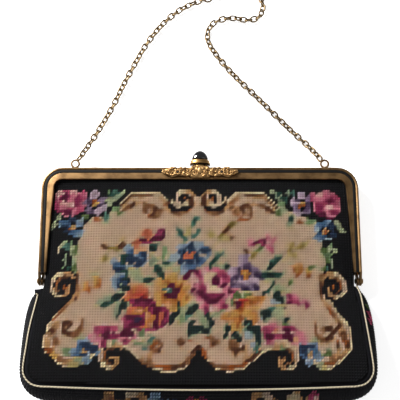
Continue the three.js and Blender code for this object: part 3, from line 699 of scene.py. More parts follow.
CURLS = (
    Dabs(T.BLACK, ((-49, 42, 2.4, 8), (48.8, 42, 2.4, 8))),
    *curl(-52.9, 41.2, 0.98, 1, T.RUST),
    *curl(51.6, 41.4, 0.98, -1, T.RUST),
    *curl(-33, 67.8, 0.9, 1, T.TAN),
    *curl(31.8, 68.2, 0.92, -1, T.BROWN),
)

POSIES = (
    # leaves, then the rose, the mauve flower and the blue one, in the upper left corner
    Dabs(T.GREEN, ((-36, 4.8, 3, 1.4, 60), (-33.4, 12, 3.4, 2.4), (-50, 25.2, 2, 2.6), (49.6, 29.6, 3, 2.6))),
    Dabs(T.PINE, ((-35.4, 7, 3, 2.6), (-50.8, 34.8, 1.8, 2), (33.8, 8.2, 2, 3), (35.2, 16.4, 2, 3.4),
        (31, 5.6, 2, 2))),
    Dabs(T.SAGE, ((-32.4, 6.8, 4.8, 2.2, 45), (-36.4, 17, 2, 2), (-58.4, 19.8, 2, 1), (-52.2, 31.6, 1.6, 5),
        (-49, 33, 1.4, 5))),
    Dabs(T.BUD, ((-30, 4.8, 3, 1.3, 50), (-35.4, 9.6, 2.4, 3), (-43, 17, 2, 2.2), (-53, 25.4, 4, 1.6, 40),
        (-49.4, 28.4, 1.5, 5))),
    Dabs(T.SPRUCE, ((-33.6, 5.4, 3, 2), (-36.8, 15, 2.2, 3.6), (-51.6, 26.6, 3, 2.8), (48.8, 35, 2.2, 2.4),
        (36.8, 5.6, 2, 2.4))),
    Dabs(T.MOSS, ((-31.8, 13.6, 2, 2.4), (-44.4, 15.4, 2.6, 2), (-48.4, 28, 1.5, 4), (-48.4, 34.8, 1.5, 3),
        (48, 28.4, 2.4, 3.4))),
    Dabs(T.BUD, ((-55.4, 14.6, 4.6, 1.8, 50), (-57, 17.6, 2, 3.2, -20), (28.4, 5, 3, 1.8, -40),
        (32.6, 12.6, 3, 3.6))),
    Dabs(T.SAGE, ((31.4, 7.4, 3.6, 2.6, -45), (34.8, 5.2, 1.6, 3), (34.8, 18, 2, 2), (54, 18.6, 3, 2.2),
        (51.2, 33, 1.6, 3.6))),
    Dabs(T.BUD, ((53.6, 16.6, 3.4, 1.6, -30), (55.2, 19.4, 1.6, 2.6), (56.4, 20.6, 1.4, 1),
        (50.2, 27.2, 2, 3), (52.4, 28, 1.4, 3))),
    Dabs(T.MOSS, ((30.8, 13.8, 2, 2.6), (43.2, 17.4, 2.6, 1.8), (49.4, 32, 2, 3), (47.4, 35.6, 2, 1.6),
        (42, 15.6, 1.4, 1.4))),
    Dabs(T.GREEN, ((43.8, 16.6, 3.2, 2), (32, 9.8, 2.6, 2.4), (51, 25.8, 1.6, 2), (-52.8, 34.2, 1.6, 1))),
    Dabs(T.CREAM, ((-54.8, 27.4, 1.4, 3), (-50.4, 13.8, 5, 1), (45.2, 17.8, 1.6, 1.4))),
    Dabs(T.RUST, ((-40.2, 16.2, 3.4, 1.6), (38.8, 17.4, 2.8, 2))),
    Dabs(T.PINK, ((-51.6, 9.2, 12.4, 10.8), (50, 9.8, 11.6, 10.8), (-46, 6.4, 3.4, 4.4),
        (44.6, 7.2, 3.4, 4.6))),
    Dabs(T.ROSE, ((-53.4, 6.4, 5.6, 5), (51.6, 8.6, 5.6, 5), (-56.8, 9.8, 1.8, 3), (-46, 6.8, 2.4, 3),
        (-46.8, 12, 3, 2.6))),
    Dabs(T.BLUSH, ((-55.6, 5.4, 3, 2.4, 40), (-52, 9.6, 6, 2, -20), (-49.8, 5, 3, 1.6), (47.6, 6, 4, 2, 30),
        (50.4, 11.2, 6, 1.8))),
    Dabs(T.MAGENTA, ((-48.2, 8.6, 2.4, 5, -10), (-55, 11.8, 4.4, 2.4, -20), (46.8, 11.4, 3, 4.4, 15),
        (52.8, 12.8, 4, 2.6))),
    Dabs(T.WINE, ((-53.2, 6.2, 3.2, 3), (-47.8, 9, 1.4, 3), (-52, 12.8, 4, 1.6), (51.6, 8.4, 3.4, 2.8),
        (48.4, 14, 3.4, 1.8), (50.8, 15.4, 3.4, 1.4))),
    Dabs(T.ROSE, ((44.6, 7.8, 2.6, 3), (53.6, 7, 2.6, 2.4), (-51, 11.4, 3, 1.2, -20), (48.4, 9, 1.6, 3))),
    Dabs(T.LILAC, ((-41.4, 6, 3.6, 3.4), (-38.2, 11.6, 3.6, 3), (-40, 13.4, 3.6, 2.2), (40, 6.4, 3, 3.4),
        (36.8, 9.4, 3.4, 4), (38.6, 13.8, 3.4, 2.2))),
    Dabs(T.MAUVE, ((-38.4, 8.2, 3.2, 3), (-43.6, 12.4, 3.2, 2.6), (-44.4, 9.6, 2, 3), (38, 12, 3.4, 2.6),
        (41.6, 13, 3, 2.4), (42.6, 8, 2, 2.4))),
    Dabs(T.PLUM, ((-43.2, 8.4, 2.6, 3), (-42.2, 13.2, 2, 1.6), (42.4, 10.6, 3, 2.6),
        (-39.6, 10.8, 1.4, 1.4), (38.6, 8.4, 1.6, 1.2))),
    Dabs(T.GOLD, ((-41.3, 9.4, 3, 2.6), (40.2, 10, 3, 2.6))),
    Dabs(T.RUST, ((-41.4, 8.4, 2.4, 1), (38.8, 10.8, 1.4, 1.2), (40.4, 10.8, 1.6, 1))),
    Dabs(T.SKY, ((-54.2, 17.4, 3, 2.6), (-47.2, 17.4, 3, 3.6), (-47, 21.6, 3.2, 3), (50, 17, 4, 1.6),
        (45.8, 23.4, 2.4, 2.4), (46, 19.4, 2, 2.4))),
    Dabs(T.BLUE, ((-52.6, 17, 3.4, 3), (-49.2, 21, 4, 3), (47.4, 18.2, 4, 2.6), (46.8, 22.2, 3.4, 3),
        (49, 23.4, 3.4, 2))),
    Dabs(T.NAVY, ((-50, 16.2, 3.6, 2.4), (-51.6, 20.4, 3, 2), (-52.2, 18.8, 2, 2), (51.6, 18.4, 3.6, 3),
        (51.8, 21.8, 3, 2.6), (47.6, 20.6, 1.6, 2))),
    Dabs(T.MIST, ((-46.4, 16.2, 1.6, 2), (-46.4, 22.6, 2, 1.4), (45.6, 20.4, 1.4, 2.4),
        (50.6, 23.8, 2, 1.2))),
    Dabs(T.TAN, ((-50.2, 18.6, 2.6, 2), (48.8, 20.6, 2.6, 2.2))),
    Dabs(T.RUST, ((-50.8, 18.2, 1, 1), (49.4, 20.2, 1, 1))),
)

BOUQUET = (
    # stems, buds and leaves
    Dabs(T.STRAW, ((-4.4, 21, 1.5, 5), (4.4, 22.2, 1.4, 4), (6.4, 26, 4.4, 1.2, 50), (10, 24, 4, 1.2, 30),
        (33, 31.4, 5, 1.2, 45), (34.6, 29.4, 4, 1.2, 50), (41.6, 25.2, 2.4, 1, 40),
        (-32.4, 28.6, 4, 1, -20))),
    Dabs(T.OLIVE, ((12, 18.6, 3.8, 1.8, 50), (8, 22.8, 3.6, 1.2, 45), (4.2, 23, 1, 2.4),
        (35.4, 27, 4.5, 1.5, 55), (38.6, 27.4, 3.6, 1.4, 25), (36.8, 30.8, 2.4, 1.2, -20),
        (20.4, 30.6, 4, 1, 60), (-34, 27.2, 5, 1.2), (-29.6, 24.2, 3, 1.2, 70), (-36.8, 31.5, 1.6, 4))),
    Dabs(T.UMBER, ((9.8, 21, 4.6, 1.5, 42), (11.8, 24.2, 2.8, 1.5, 30), (17.8, 29.4, 1.4, 2.4),
        (17, 28.2, 1.4, 1.2), (-30.3, 26.6, 4, 1.6, 60), (-37.2, 26.8, 3, 1.2, -30))),
    Dabs(T.SPRUCE, ((-2, 17, 5, 1.8, 65), (-7, 22.5, 6, 1.8, -50), (-1.4, 22, 5.6, 1.5, 55),
        (-18.6, 26.4, 1.6, 1.4), (7.4, 30.6, 5, 1.5, 50), (27.6, 32.8, 4, 1.3, 45))),
    Dabs(T.PINE, ((-7.4, 21.8, 3.4, 1.2, -50), (-2.3, 17.4, 3, 1, 60), (5.2, 32.8, 5, 1.4, 50),
        (28.6, 33.4, 7, 1.8, 45), (27.2, 37.8, 8, 2.2, 2), (24.6, 44.6, 3.4, 1.6, 10),
        (26.8, 42.8, 4, 1.1, 40), (-18, 27.4, 3.4, 2.8))),
    Dabs(T.DEEP, ((-18.4, 28.2, 2, 1.8), (26.2, 38.2, 4, 1.4), (23.8, 45, 2.4, 1.2), (27, 35, 3, 1.3, 45),
        (10.4, 35, 2.8, 1.2, 20))),
    Dabs(T.BUD, ((8.8, 28.8, 3, 1.2, 50), (26.5, 40.4, 5, 1.8, 10), (30.4, 43.6, 5, 1.8, 30),
        (33, 43.6, 2, 2), (-17.6, 31.6, 2.6, 2.4), (7, 35.4, 3, 1.2))),
    Dabs(T.GREEN, ((7.4, 34.4, 4, 1.4), (-13.6, 28.6, 1.5, 4), (29.4, 42, 2.4, 1.2, 20),
        (-17.2, 26.2, 1.2, 1), (-18, 32.8, 2.4, 2))),
    Dabs(T.MOSS, ((22.6, 28.4, 3.4, 1.4, 30), (24.2, 27.2, 2, 1, 40), (-14, 31.4, 1.6, 3),
        (34.6, 40.6, 3.4, 1.2, 40), (43.2, 34.4, 3.6, 1.4, -15), (14, 46, 4, 1.6), (18, 46, 4, 1.4))),
    Dabs(T.SAGE, ((-11.4, 33, 3.4, 4), (-18.6, 33.4, 2.6, 2.4), (-22.4, 39.4, 5, 1.8),
        (-36, 47.4, 7, 2.2, 25), (-31.2, 50.4, 5.4, 2, 55), (34.4, 33.4, 2.4, 1))),
    Dabs(T.BUD, ((-25.4, 36.8, 5, 2.2, 15), (-23.6, 38.4, 5, 2), (-9.4, 35.8, 3, 2.4),
        (-40.6, 37.8, 4, 1.4))),
    Dabs(T.PINE, ((-13.2, 33.8, 2, 2), (-15.7, 36.4, 5.6, 2.6, -55), (-20, 40, 4.6, 2, 10),
        (-33.6, 48, 8, 2, 28), (-30.8, 53.2, 3.6, 1.1, 55), (-29.4, 32, 2, 4), (-28.6, 37.6, 2, 3))),
    Dabs(T.DEEP, ((-15.4, 36.2, 2.4, 1.4, -55), (-31, 46, 5, 2, 30), (-28.8, 49.6, 4.6, 2.4, 55),
        (-28.4, 42.6, 3.4, 3, 30), (-27.4, 40.4, 1.6, 3), (-19.6, 40.4, 2.6, 1.2, 10))),
    # lower leaves
    Dabs(T.BUD, ((-6.8, 53, 2.8, 7.6), (0.4, 53.4, 6, 3, -50), (1.6, 56.6, 4, 2, -60), (6, 52.8, 3.6, 2.6),
        (29.6, 52.4, 4, 5), (42.4, 62.4, 2, 4), (-44, 61.2, 3, 1.4), (-45, 69.6, 2.6, 3),
        (44.2, 71.4, 3, 2.4))),
    Dabs(T.GREEN, ((-6.4, 55, 1.6, 3), (1.4, 55.6, 3.4, 1.2, -60), (7.4, 51.8, 2.4, 1.4),
        (-21.4, 60, 2.8, 1.6), (-23, 63.6, 3, 1.4), (-32, 63, 2, 1.8), (30.6, 64.6, 2, 2.2),
        (-49, 66.4, 3.2, 2.4), (12, 48, 2, 3))),
    Dabs(T.SPRUCE, ((-4.8, 53.4, 3, 2, 50), (-18, 62, 3, 1.6, 30), (-20.6, 65.2, 1.6, 1.4),
        (18.4, 59.6, 3.4, 4.4), (20.8, 65.4, 1.6, 2.4), (26.6, 50.8, 3, 1.6, 20))),
    Dabs(T.DEEP, ((-9.4, 53, 8.4, 2.6, 62), (-2.8, 51, 5.6, 2.4, 35), (2.8, 53.6, 4.2, 2.2, -40),
        (4.4, 56.4, 1.5, 3), (2.2, 59, 3.4, 1.5, 15), (0.4, 58, 1.3, 2.4))),
    Dabs(T.DEEP, ((-3.6, 58.4, 1.7, 5), (-1.5, 58.4, 1.5, 4.6), (-2.6, 55.8, 2.4, 1.5),
        (10.8, 58, 2, 3, 30), (9.8, 60.4, 3, 1.8, 50), (13.4, 60.8, 4.6, 2, -45), (14.8, 62.4, 1.8, 2))),
    Dabs(T.DEEP, ((18.8, 56.4, 4.8, 1.8, -15), (20.8, 58.6, 4.4, 3.2, -45), (21.8, 62, 1.9, 3.6),
        (24.8, 52.6, 4.2, 3.2), (29.6, 46.6, 5, 3, -50), (32, 55.4, 1.5, 3, -30))),
    Dabs(T.MIST, ((17.8, 60.6, 2.4, 3), (23.2, 54.2, 2, 1.3), (28, 48.2, 2.4, 2.4), (-10.8, 31.6, 2.2, 3.6),
        (19.6, 64.2, 2.4, 2.4))),
    Dabs(T.MOSS, ((47, 67.4, 3.6, 2, 10), (-9, 50.6, 2, 1.4), (33.6, 41.8, 1.4, 1), (-45.6, 14.2, 1.6, 1.4),
        (31.6, 56.6, 1.4, 1.6))),
    Dabs(T.STRAW, ((-46.6, 70.8, 4, 2.6), (45.8, 72, 2, 1.6), (25.6, 40.6, 2, 1), (31, 50, 2, 1.6))),
    # tulip and bluebells
    Dabs(T.PEACH, ((-23.2, 28, 5.2, 2.4), (-24, 29.6, 2, 1.6))),
    Dabs(T.CORAL, ((-20.4, 22, 3.8, 3.6), (-23.8, 25.4, 4.8, 2.2, 15))),
    Dabs(T.MAGENTA, ((-15.6, 22.2, 5.4, 2.8, 60), (-19.4, 24.8, 6, 1.6, 15))),
    Dabs(T.WINE, ((-17.4, 24, 3.6, 2.2, 20), (-14.4, 23, 1.2, 3.6, -15), (-21.4, 24.8, 3, 1.2, 10),
        (-26, 25.8, 2, 1, 20))),
    Dabs(T.MIST, ((-28.2, 27.2, 3, 3), (-33.2, 32.6, 3.4, 2.4), (-32.6, 39, 3, 2.4, 30),
        (-30, 37.4, 3, 1.3), (-24.6, 31, 1.6, 3))),
    Dabs(T.SKY, ((-27.6, 28.6, 2.6, 3.2), (-23.6, 31.8, 2.4, 3), (-32.6, 33.8, 3, 2), (-32, 40.6, 3.4, 3))),
    Dabs(T.BLUE, ((-26.8, 30, 2.8, 3.6), (-22.2, 31, 3, 3.4), (-31.2, 34.4, 3.6, 2.6),
        (-30.4, 39.4, 3.4, 3.2, 30))),
    Dabs(T.NAVY, ((-26.6, 32, 3.4, 3.4), (-21.3, 31.2, 1.4, 4), (-23.4, 33.8, 4, 2.2, 20),
        (-30.8, 35.8, 5, 1.8), (-29.2, 40.4, 2.4, 3.6, 40), (-31.6, 42.6, 3, 1.3, 30))),
    Dabs(T.MIST, ((-28.8, 34.4, 1.1, 1.1), (-27.8, 35.6, 1.1, 1.1), (-29.2, 43.4, 1.6, 1, 20))),
    # buds at the left, the magenta sprig and the orange flowers at the right
    Dabs(T.ORANGE, ((-39, 40.6, 3.4, 5), (-43.2, 42.2, 2.4, 4.2), (37.6, 35.8, 3.8, 4.6),
        (41.2, 37, 2.4, 4.2))),
    Dabs(T.GOLD, ((-39.6, 39.8, 1.8, 3.4), (-43.8, 41.6, 1.4, 2.4), (37.8, 34.8, 2.4, 2),
        (41.8, 36, 1.8, 2))),
    Dabs(T.RUST, ((-38, 42.4, 1.8, 2), (-42.2, 43.8, 1.6, 2.8), (37.2, 37.8, 1.8, 2), (41.4, 38.4, 1.6, 2),
        (36.2, 36.2, 1.2, 2.4))),
    Dabs(T.PINK, ((26.6, 24, 2, 2), (26.2, 27.2, 2, 1.6), (19.2, 24.8, 2, 1.2), (34.4, 47, 4.4, 4, 30),
        (39.4, 48.2, 3.4, 2), (36.6, 47, 2, 2))),
    Dabs(T.ROSE, ((19, 26.2, 2, 1.2, 20), (25.8, 22.8, 1.5, 2.4), (27.2, 27.6, 3, 2, -40),
        (28.6, 24.4, 2.6, 1.3, 50), (36.8, 48.2, 2.2, 3))),
    Dabs(T.MAGENTA, ((20.8, 25.6, 4.6, 1.8, 10), (24.2, 25.4, 3.4, 2.6, -20), (27.8, 28.8, 1.4, 2.2),
        (34.2, 46.6, 1.6, 4), (36.8, 48.8, 1.4, 2), (40.2, 49.2, 1.7, 2.6))),
    Dabs(T.WINE, ((21.2, 25.2, 2.2, 1.4, 20), (25, 25.4, 1.8, 2), (33.4, 48.6, 1.7, 2, 30),
        (39.8, 50.8, 1, 1.4), (31.8, 50, 1.6, 1.4))),
    # blue flower
    Dabs(T.SKY, ((-6.5, 27.6, 5, 3.6, 20), (-1.6, 26.8, 5.4, 3), (3.2, 29, 3.4, 3), (-1.4, 34, 4.4, 2.6),
        (-5.8, 35.8, 4.2, 4), (-8, 31.8, 3.4, 3.6))),
    Dabs(T.MIST, ((-8, 27, 3, 1.8, 20), (-1, 25.6, 5, 1.6, 10), (-6.4, 37.2, 3, 2), (-9.6, 31.6, 2.8, 3.4),
        (4, 30, 1.6, 1.4))),
    Dabs(T.BLUE, ((-7.2, 28.8, 4, 2, 20), (2.4, 28.4, 4, 2.8), (0.2, 32.4, 3.8, 3.4),
        (-3.4, 34.6, 3.8, 2.6))),
    Dabs(T.NAVY, ((-3.9, 30.6, 7, 6), (-3.2, 27, 1.8, 3), (1.4, 28.6, 3.4, 2.2), (-1, 32.6, 3, 2),
        (-6.8, 33, 1.6, 1.6), (-7.6, 29.2, 2.6, 1))),
    Dabs(T.CORAL, ((-3.9, 30.6, 4.6, 2.9, 15),)),
    Dabs(T.ORANGE, ((-3.4, 30.6, 3, 1.6, 15),)),
    Dabs(T.PEACH, ((-5.6, 31.2, 1.4, 1.2),)),
    # purple flower
    Dabs(T.LILAC, ((16, 32.4, 3.8, 4.4), (12.4, 37.4, 4, 4.4), (20, 40.8, 4, 3), (14.6, 40.4, 3.4, 2.6))),
    Dabs(T.MAUVE, ((17.4, 32.8, 2.4, 4), (13.8, 36.2, 3, 3), (20.6, 36.6, 3.8, 3.2), (14.4, 42, 3.6, 3),
        (19.6, 42.4, 2.4, 3))),
    Dabs(T.PLUM, ((17.2, 37.6, 5.4, 5.6), (18.4, 34, 2, 2.4), (13, 39.4, 3.2, 1.4, 30),
        (22.6, 38.4, 4.6, 2.2, -10), (21.2, 43, 3.2, 2.8), (12.2, 41.8, 2.8, 2.8), (16.8, 42.8, 3.4, 2.8))),
    Dabs(T.GRAPE, ((24, 38.6, 3, 1.4), (17.4, 43.4, 2, 1.4), (21.6, 43.6, 1.6, 1.4), (19.4, 36, 1.2, 2))),
    Dabs(T.ORANGE, ((17.2, 37.7, 2.9, 4),)),
    Dabs(T.GOLD, ((17.4, 36.8, 1.6, 1.6),)),
    # orange and gold flower
    Flower(-10.8, 44.4, 7.6, 6, (T.ORANGE, T.ORANGE, T.GOLD, T.PEACH), (T.WINE,), 2.5, 90.0, 0.3, 1.04),
    Dabs(T.GOLD, ((-15.8, 46.8, 3.4, 3.6), (-14.6, 41.4, 4, 2), (-11.6, 38.6, 4, 2.6),
        (-10.2, 50.4, 3.4, 2.4))),
    Dabs(T.PEACH, ((-17, 47.6, 2, 3), (-15.8, 43.8, 3, 1.4), (-11.8, 37.4, 3.4, 1.3), (-6, 39.4, 2.6, 1.2),
        (-12.4, 49.4, 1.3, 3))),
    Dabs(T.RUST, ((-7, 42, 2.4, 1.2, 30), (-9, 47.4, 2, 1.4), (-13.4, 46.4, 2, 1.3), (-5.2, 46.6, 1.3, 2),
        (-12, 41, 2.4, 1))),
    Dabs(T.WINE, ((-9, 44.4, 3.2, 3.4), (-10.4, 46.2, 3, 1.6), (-10.2, 42, 3.6, 1.2), (-13.4, 43.4, 1, 2))),
    Dabs(T.SPRUCE, ((-11.8, 43.8, 2.8, 2.4),)),
    Dabs(T.MIST, ((-12, 43.4, 1.6, 1.2),)),
    # poppy
    Dabs(T.PEACH, ((-24, 41.9, 7, 1.8), (-28, 45.8, 2.6, 1.4, 40))),
    Dabs(T.CORAL, ((-23.4, 44, 8, 3.6), (-26.4, 46.6, 5.4, 3, 20))),
    Dabs(T.ORANGE, ((-24.4, 43, 3, 1.4), (-27.4, 47.2, 2.4, 1.4, 20))),
    Dabs(T.RED, ((-22.6, 45.6, 6, 1.6), (-26, 47.6, 3, 1.2, 20))),
    Dabs(T.MAGENTA, ((-19.6, 53.6, 16.4, 10.6), (-22.6, 47.8, 8.4, 3, 8))),
    Dabs(T.WINE, ((-22, 48.2, 8, 2, 8), (-16.2, 54, 2.8, 9), (-13.2, 54, 1.8, 6),
        (-17.6, 57.4, 5.4, 2.2, 20), (-16.4, 50, 4, 1.6, -30))),
    Dabs(T.CORAL, ((-24.8, 52.2, 6, 4.4, 30), (-21, 57.4, 5.4, 1.7), (-14.6, 54, 1.3, 4.2),
        (-27, 53.2, 2, 2))),
    Dabs(T.ORANGE, ((-22.4, 51.8, 8, 2.6), (-19, 54.6, 2.8, 5.4), (-20.2, 57, 2.4, 1.2))),
    Dabs(T.PEACH, ((-23, 51.2, 4, 1), (-19.6, 53.4, 1.2, 2.4), (-18.4, 56.6, 1, 1.4))),
    Dabs(T.WINE, ((-23.8, 55, 6.4, 3.8, -15), (-26, 54, 2, 2))),
    Dabs(T.GRAPE, ((-23.4, 54.8, 3, 1.8),)),
    Dabs(T.ROSE, ((-19, 58.8, 4, 1), (-28.2, 54.6, 1.6, 2))),
    # big rose
    Dabs(T.PINK, ((4.4, 42.4, 14.4, 15), (-2.4, 40.6, 3, 5), (4.6, 50, 11, 3.4), (12.4, 44.4, 5, 2, 15))),
    Dabs(T.BLUSH, ((0.4, 37, 5, 2.4, 20), (-2.6, 40, 2, 4), (4.6, 51.2, 6, 2), (0.4, 48.6, 2, 2.4, -30),
        (11, 41, 1.4, 2))),
    Dabs(T.ROSE, ((-0.2, 39.4, 2.2, 4.6), (8.6, 37.4, 5, 2.2, -25), (2.2, 49.6, 2, 3.4),
        (8.8, 49.6, 3, 2.6, -30), (1.6, 43, 2.4, 6, -20), (10, 39.8, 2.4, 2.4))),
    Dabs(T.CREAM, ((4.4, 40.4, 5.6, 7.4), (6, 44, 4, 2))),
    Dabs(T.BLUSH, ((2.8, 42, 1.8, 4), (5.4, 44.6, 5.4, 1.6))),
    Dabs(T.MAGENTA, ((0.6, 44.2, 2.4, 5, -25), (4.8, 46.6, 9.4, 2.6), (2.4, 51.2, 1.5, 2.2),
        (9.6, 50, 1.5, 1.8), (12.8, 44.4, 4, 1.2, 15), (-1.6, 37, 3, 1, 10), (8, 38.4, 2, 1))),
    Dabs(T.WINE, ((6, 40.2, 3.4, 4, -40), (4.6, 47.8, 6.6, 2.2, 5), (8.4, 46.4, 3.4, 1.3, 25),
        (1.6, 46, 3, 1.5, -40), (9.2, 42.1, 4.6, 1.5, 40), (10.9, 44.2, 1.8, 1.2, 45))),
    Dabs(T.WINE, ((-4.6, 38.2, 3.2, 2.4, 45), (-2.8, 43.2, 1.8, 3), (-2.4, 36.8, 3, 1.1, 10),
        (0, 44.8, 1.4, 2.4))),
    # gold and orange lily
    Dabs(T.ORANGE, ((20.6, 48, 8.6, 3.4, 12), (13.6, 54.6, 4.6, 6.4), (20.4, 54, 2.6, 3.6),
        (9.4, 54.4, 4.4, 1.8), (16.4, 50.6, 3, 3))),
    Dabs(T.GOLD, ((19.4, 50.6, 7.4, 2.2, 15), (18, 52.8, 5, 2.8, -30), (13.6, 57.6, 3.8, 3),
        (12.4, 52.6, 3.4, 2), (10, 53, 3, 1.2), (18.4, 46.8, 4, 1.4, 15))),
    Dabs(T.PEACH, ((17, 50.6, 2.4, 1.6), (10.8, 55.6, 3, 1.1), (20, 51.8, 3, 1, 20), (22.6, 49.4, 2.4, 1),
        (12.4, 58.4, 1.6, 1.6))),
    Dabs(T.RUST, ((15, 54.6, 2, 3.4), (20.4, 48.4, 5, 1.2, 10), (16, 51.4, 1.2, 2), (23.4, 47, 2.4, 1),
        (14, 57, 1, 2))),
    Dabs(T.WINE, ((14.8, 49, 3.4, 2.6), (14.6, 50.8, 1.6, 1.6))),
    Dabs(T.RED, ((16, 47.8, 2.2, 1.4), (19.4, 53, 1, 1))),
    Dabs(T.UMBER, ((13.2, 48.8, 2.6, 1.1),)),
    # four magenta flowers along the bottom
    Dabs(T.PINK, ((-38.6, 61, 6, 3.4), (-36, 63.8, 3.4, 2), (-24.8, 60.6, 2.6, 2.6), (-29, 61, 2.4, 3),
        (27.4, 57.4, 4, 2.6), (26.6, 63.2, 3.6, 2), (35, 62.2, 4.4, 3.8), (37, 59.8, 3, 2.2, -30),
        (38.4, 62.4, 2.4, 3.6))),
    Dabs(T.ROSE, ((-37.4, 58.6, 4.6, 3.2), (-32, 57.8, 4, 2.2), (-27.2, 62.6, 2.8, 2.4), (25, 58.6, 4, 3.8),
        (29.2, 61.2, 3, 2.2), (31.8, 57.6, 2.6, 2), (36, 58.6, 3, 1.3, -35))),
    Dabs(T.MAGENTA, ((-35, 58.4, 3.4, 2.8), (-35.8, 62.8, 2.8, 2.6), (-31.6, 61, 4.4, 1.7, 10),
        (-27, 57.2, 3.4, 2.4), (25.6, 61, 4.2, 3.2), (33.2, 58.2, 4, 3), (-39.4, 61.8, 3, 1.2))),
    Dabs(T.WINE, ((-34.8, 60.8, 3.8, 2.8), (-27, 59.7, 4.4, 3.4), (26, 61, 2.6, 2.6), (32.6, 60.6, 4, 3.2),
        (33.6, 62.2, 2, 1.2), (-27.4, 62.4, 1.2, 1.4))),
    Dabs(T.CORAL, ((-38, 60.4, 1.6, 1.2), (28, 58.8, 1.6, 1.2))),
    Dabs(T.PEACH, ((35.8, 61.8, 2, 2.2), (-36.8, 60.2, 1, 1))),
    Dabs(T.BLUSH, ((-37.6, 62.6, 2.2, 1.4), (-31, 59.4, 2, 1.4), (33.6, 59.2, 1.2, 1), (30.4, 59, 2, 1.4),
        (-40.4, 60, 1.4, 1.4))),
    # two blue flowers in the lower corners
    Dabs(T.SKY, ((-44, 62.8, 4, 2.4, 10), (-46, 66.4, 4, 3.2, 20), (-38, 66.6, 2.4, 2),
        (-41.4, 69.4, 3.4, 2.6), (43, 67.8, 2.2, 4), (40, 70.2, 3.6, 2.6), (42.4, 64.2, 2, 1.6))),
    Dabs(T.MIST, ((-47.6, 66.6, 2, 1.8), (-41.6, 68.2, 2, 1.4), (-44.6, 62, 1.6, 1), (39.8, 69.4, 2, 1.6),
        (43.6, 69.4, 1.2, 1.6))),
    Dabs(T.BLUE, ((-43.6, 65, 3, 2.4), (-45, 67.4, 2.4, 1.6), (42, 66, 2.4, 4.6), (38.6, 68, 2, 1.6),
        (37.4, 66.6, 2, 2))),
    Dabs(T.NAVY, ((-42, 64.2, 3.4, 2), (-39.2, 65.2, 4, 3), (-43.2, 67.4, 3, 2), (38.2, 65.2, 4, 3, 30),
        (40.6, 64.6, 2.4, 1.4))),
    Dabs(T.TAN, ((-42.2, 65.8, 2, 1.8), (40.8, 67.2, 2, 1.8))),
)


GUSSET_MOTIFS = (
    Dabs(T.TAN, ((-34, 5.5, 5, 8), (35, 5, 3, 6), (40, 5, 3, 5))),
    Dabs(T.BROWN, ((-33, 6, 2, 5), (-30, 6, 2, 3))),
    Stroke(((-28, 9), (-26.5, 3), (-23.5, 2.5), (-21, 5), (-23, 8), (-25.5, 7)), 2.6, (T.TAN, T.FIELD,
        T.TAN, T.BROWN)),
    Dabs(T.SKY, ((-17, 5, 5, 7), (-12.5, 7, 4, 5))),
    Dabs(T.NAVY, ((-15, 6, 3, 5), (-10, 6, 2, 5))),
    Dabs(T.MAGENTA, ((-4, 6, 4, 7), (0, 5, 3, 5))),
    Dabs(T.ORANGE, ((-2, 6, 2.4, 4), (-4.4, 6, 1.4, 2))),
    Stroke(((18, 9), (19.5, 3), (23, 2.5), (25.5, 5), (28.5, 8)), 2.6, (T.BROWN, T.TAN, T.FIELD, T.TAN)),
    Dabs(T.CREAM, ((33.5, 5, 5, 5),)),
    Dabs(T.ROSE, ((41, 5, 4, 6), (88, 8, 7, 6), (96, 8, 5, 5))),
    Dabs(T.BLUSH, ((42, 5, 2, 3), (88, 8, 3, 2.4), (97, 8, 2, 2))),
    Dabs(T.MOSS, ((92, 9, 4, 4),)),
)


def work_front(chart: Chart) -> None:
    """Works the whole front: field, scrollwork, curls, corner posies and bouquet."""
    Cartouche(FRONT_OUTLINE).work(chart)
    for motif in (*SCROLLWORK, *CURLS, *POSIES, *BOUQUET):
        motif.work(chart)
    chart.mingle(share=0.45, seed=3)
    chart.soften(share=0.3, seed=5)


@dataclass(frozen=True)
class Yarn:
    """How a thread's colour wanders from stitch to stitch."""

    lightness_spread: float = 0.25
    hue_spread: float = 0.035
    field_blush: float = 0.35

    def vary(self, colours: np.ndarray, ground: np.ndarray, seed: int) -> np.ndarray:
        """Gives every stitch its own slight shade.

        Args:
            colours: One colour a stitch, in linear light.
            ground: Which stitches belong to the light field.
            seed: Seed of the shades.

        Returns:
            The shaded colours.
        """
        dice = np.random.default_rng(seed)
        light = 1 + self.lightness_spread * dice.standard_normal((len(colours), 1))
        tint = 1 + self.hue_spread * dice.standard_normal((len(colours), 3))
        rosy = np.array(linear(T.ROSY_FIELD.value))
        share = (self.field_blush * dice.random(len(colours)) * ground)[:, None]
        mixed = colours * (1 - share) + rosy * share
        return np.clip(mixed * np.clip(light, 0.6, 1.45) * tint, 0.0, 1.0)


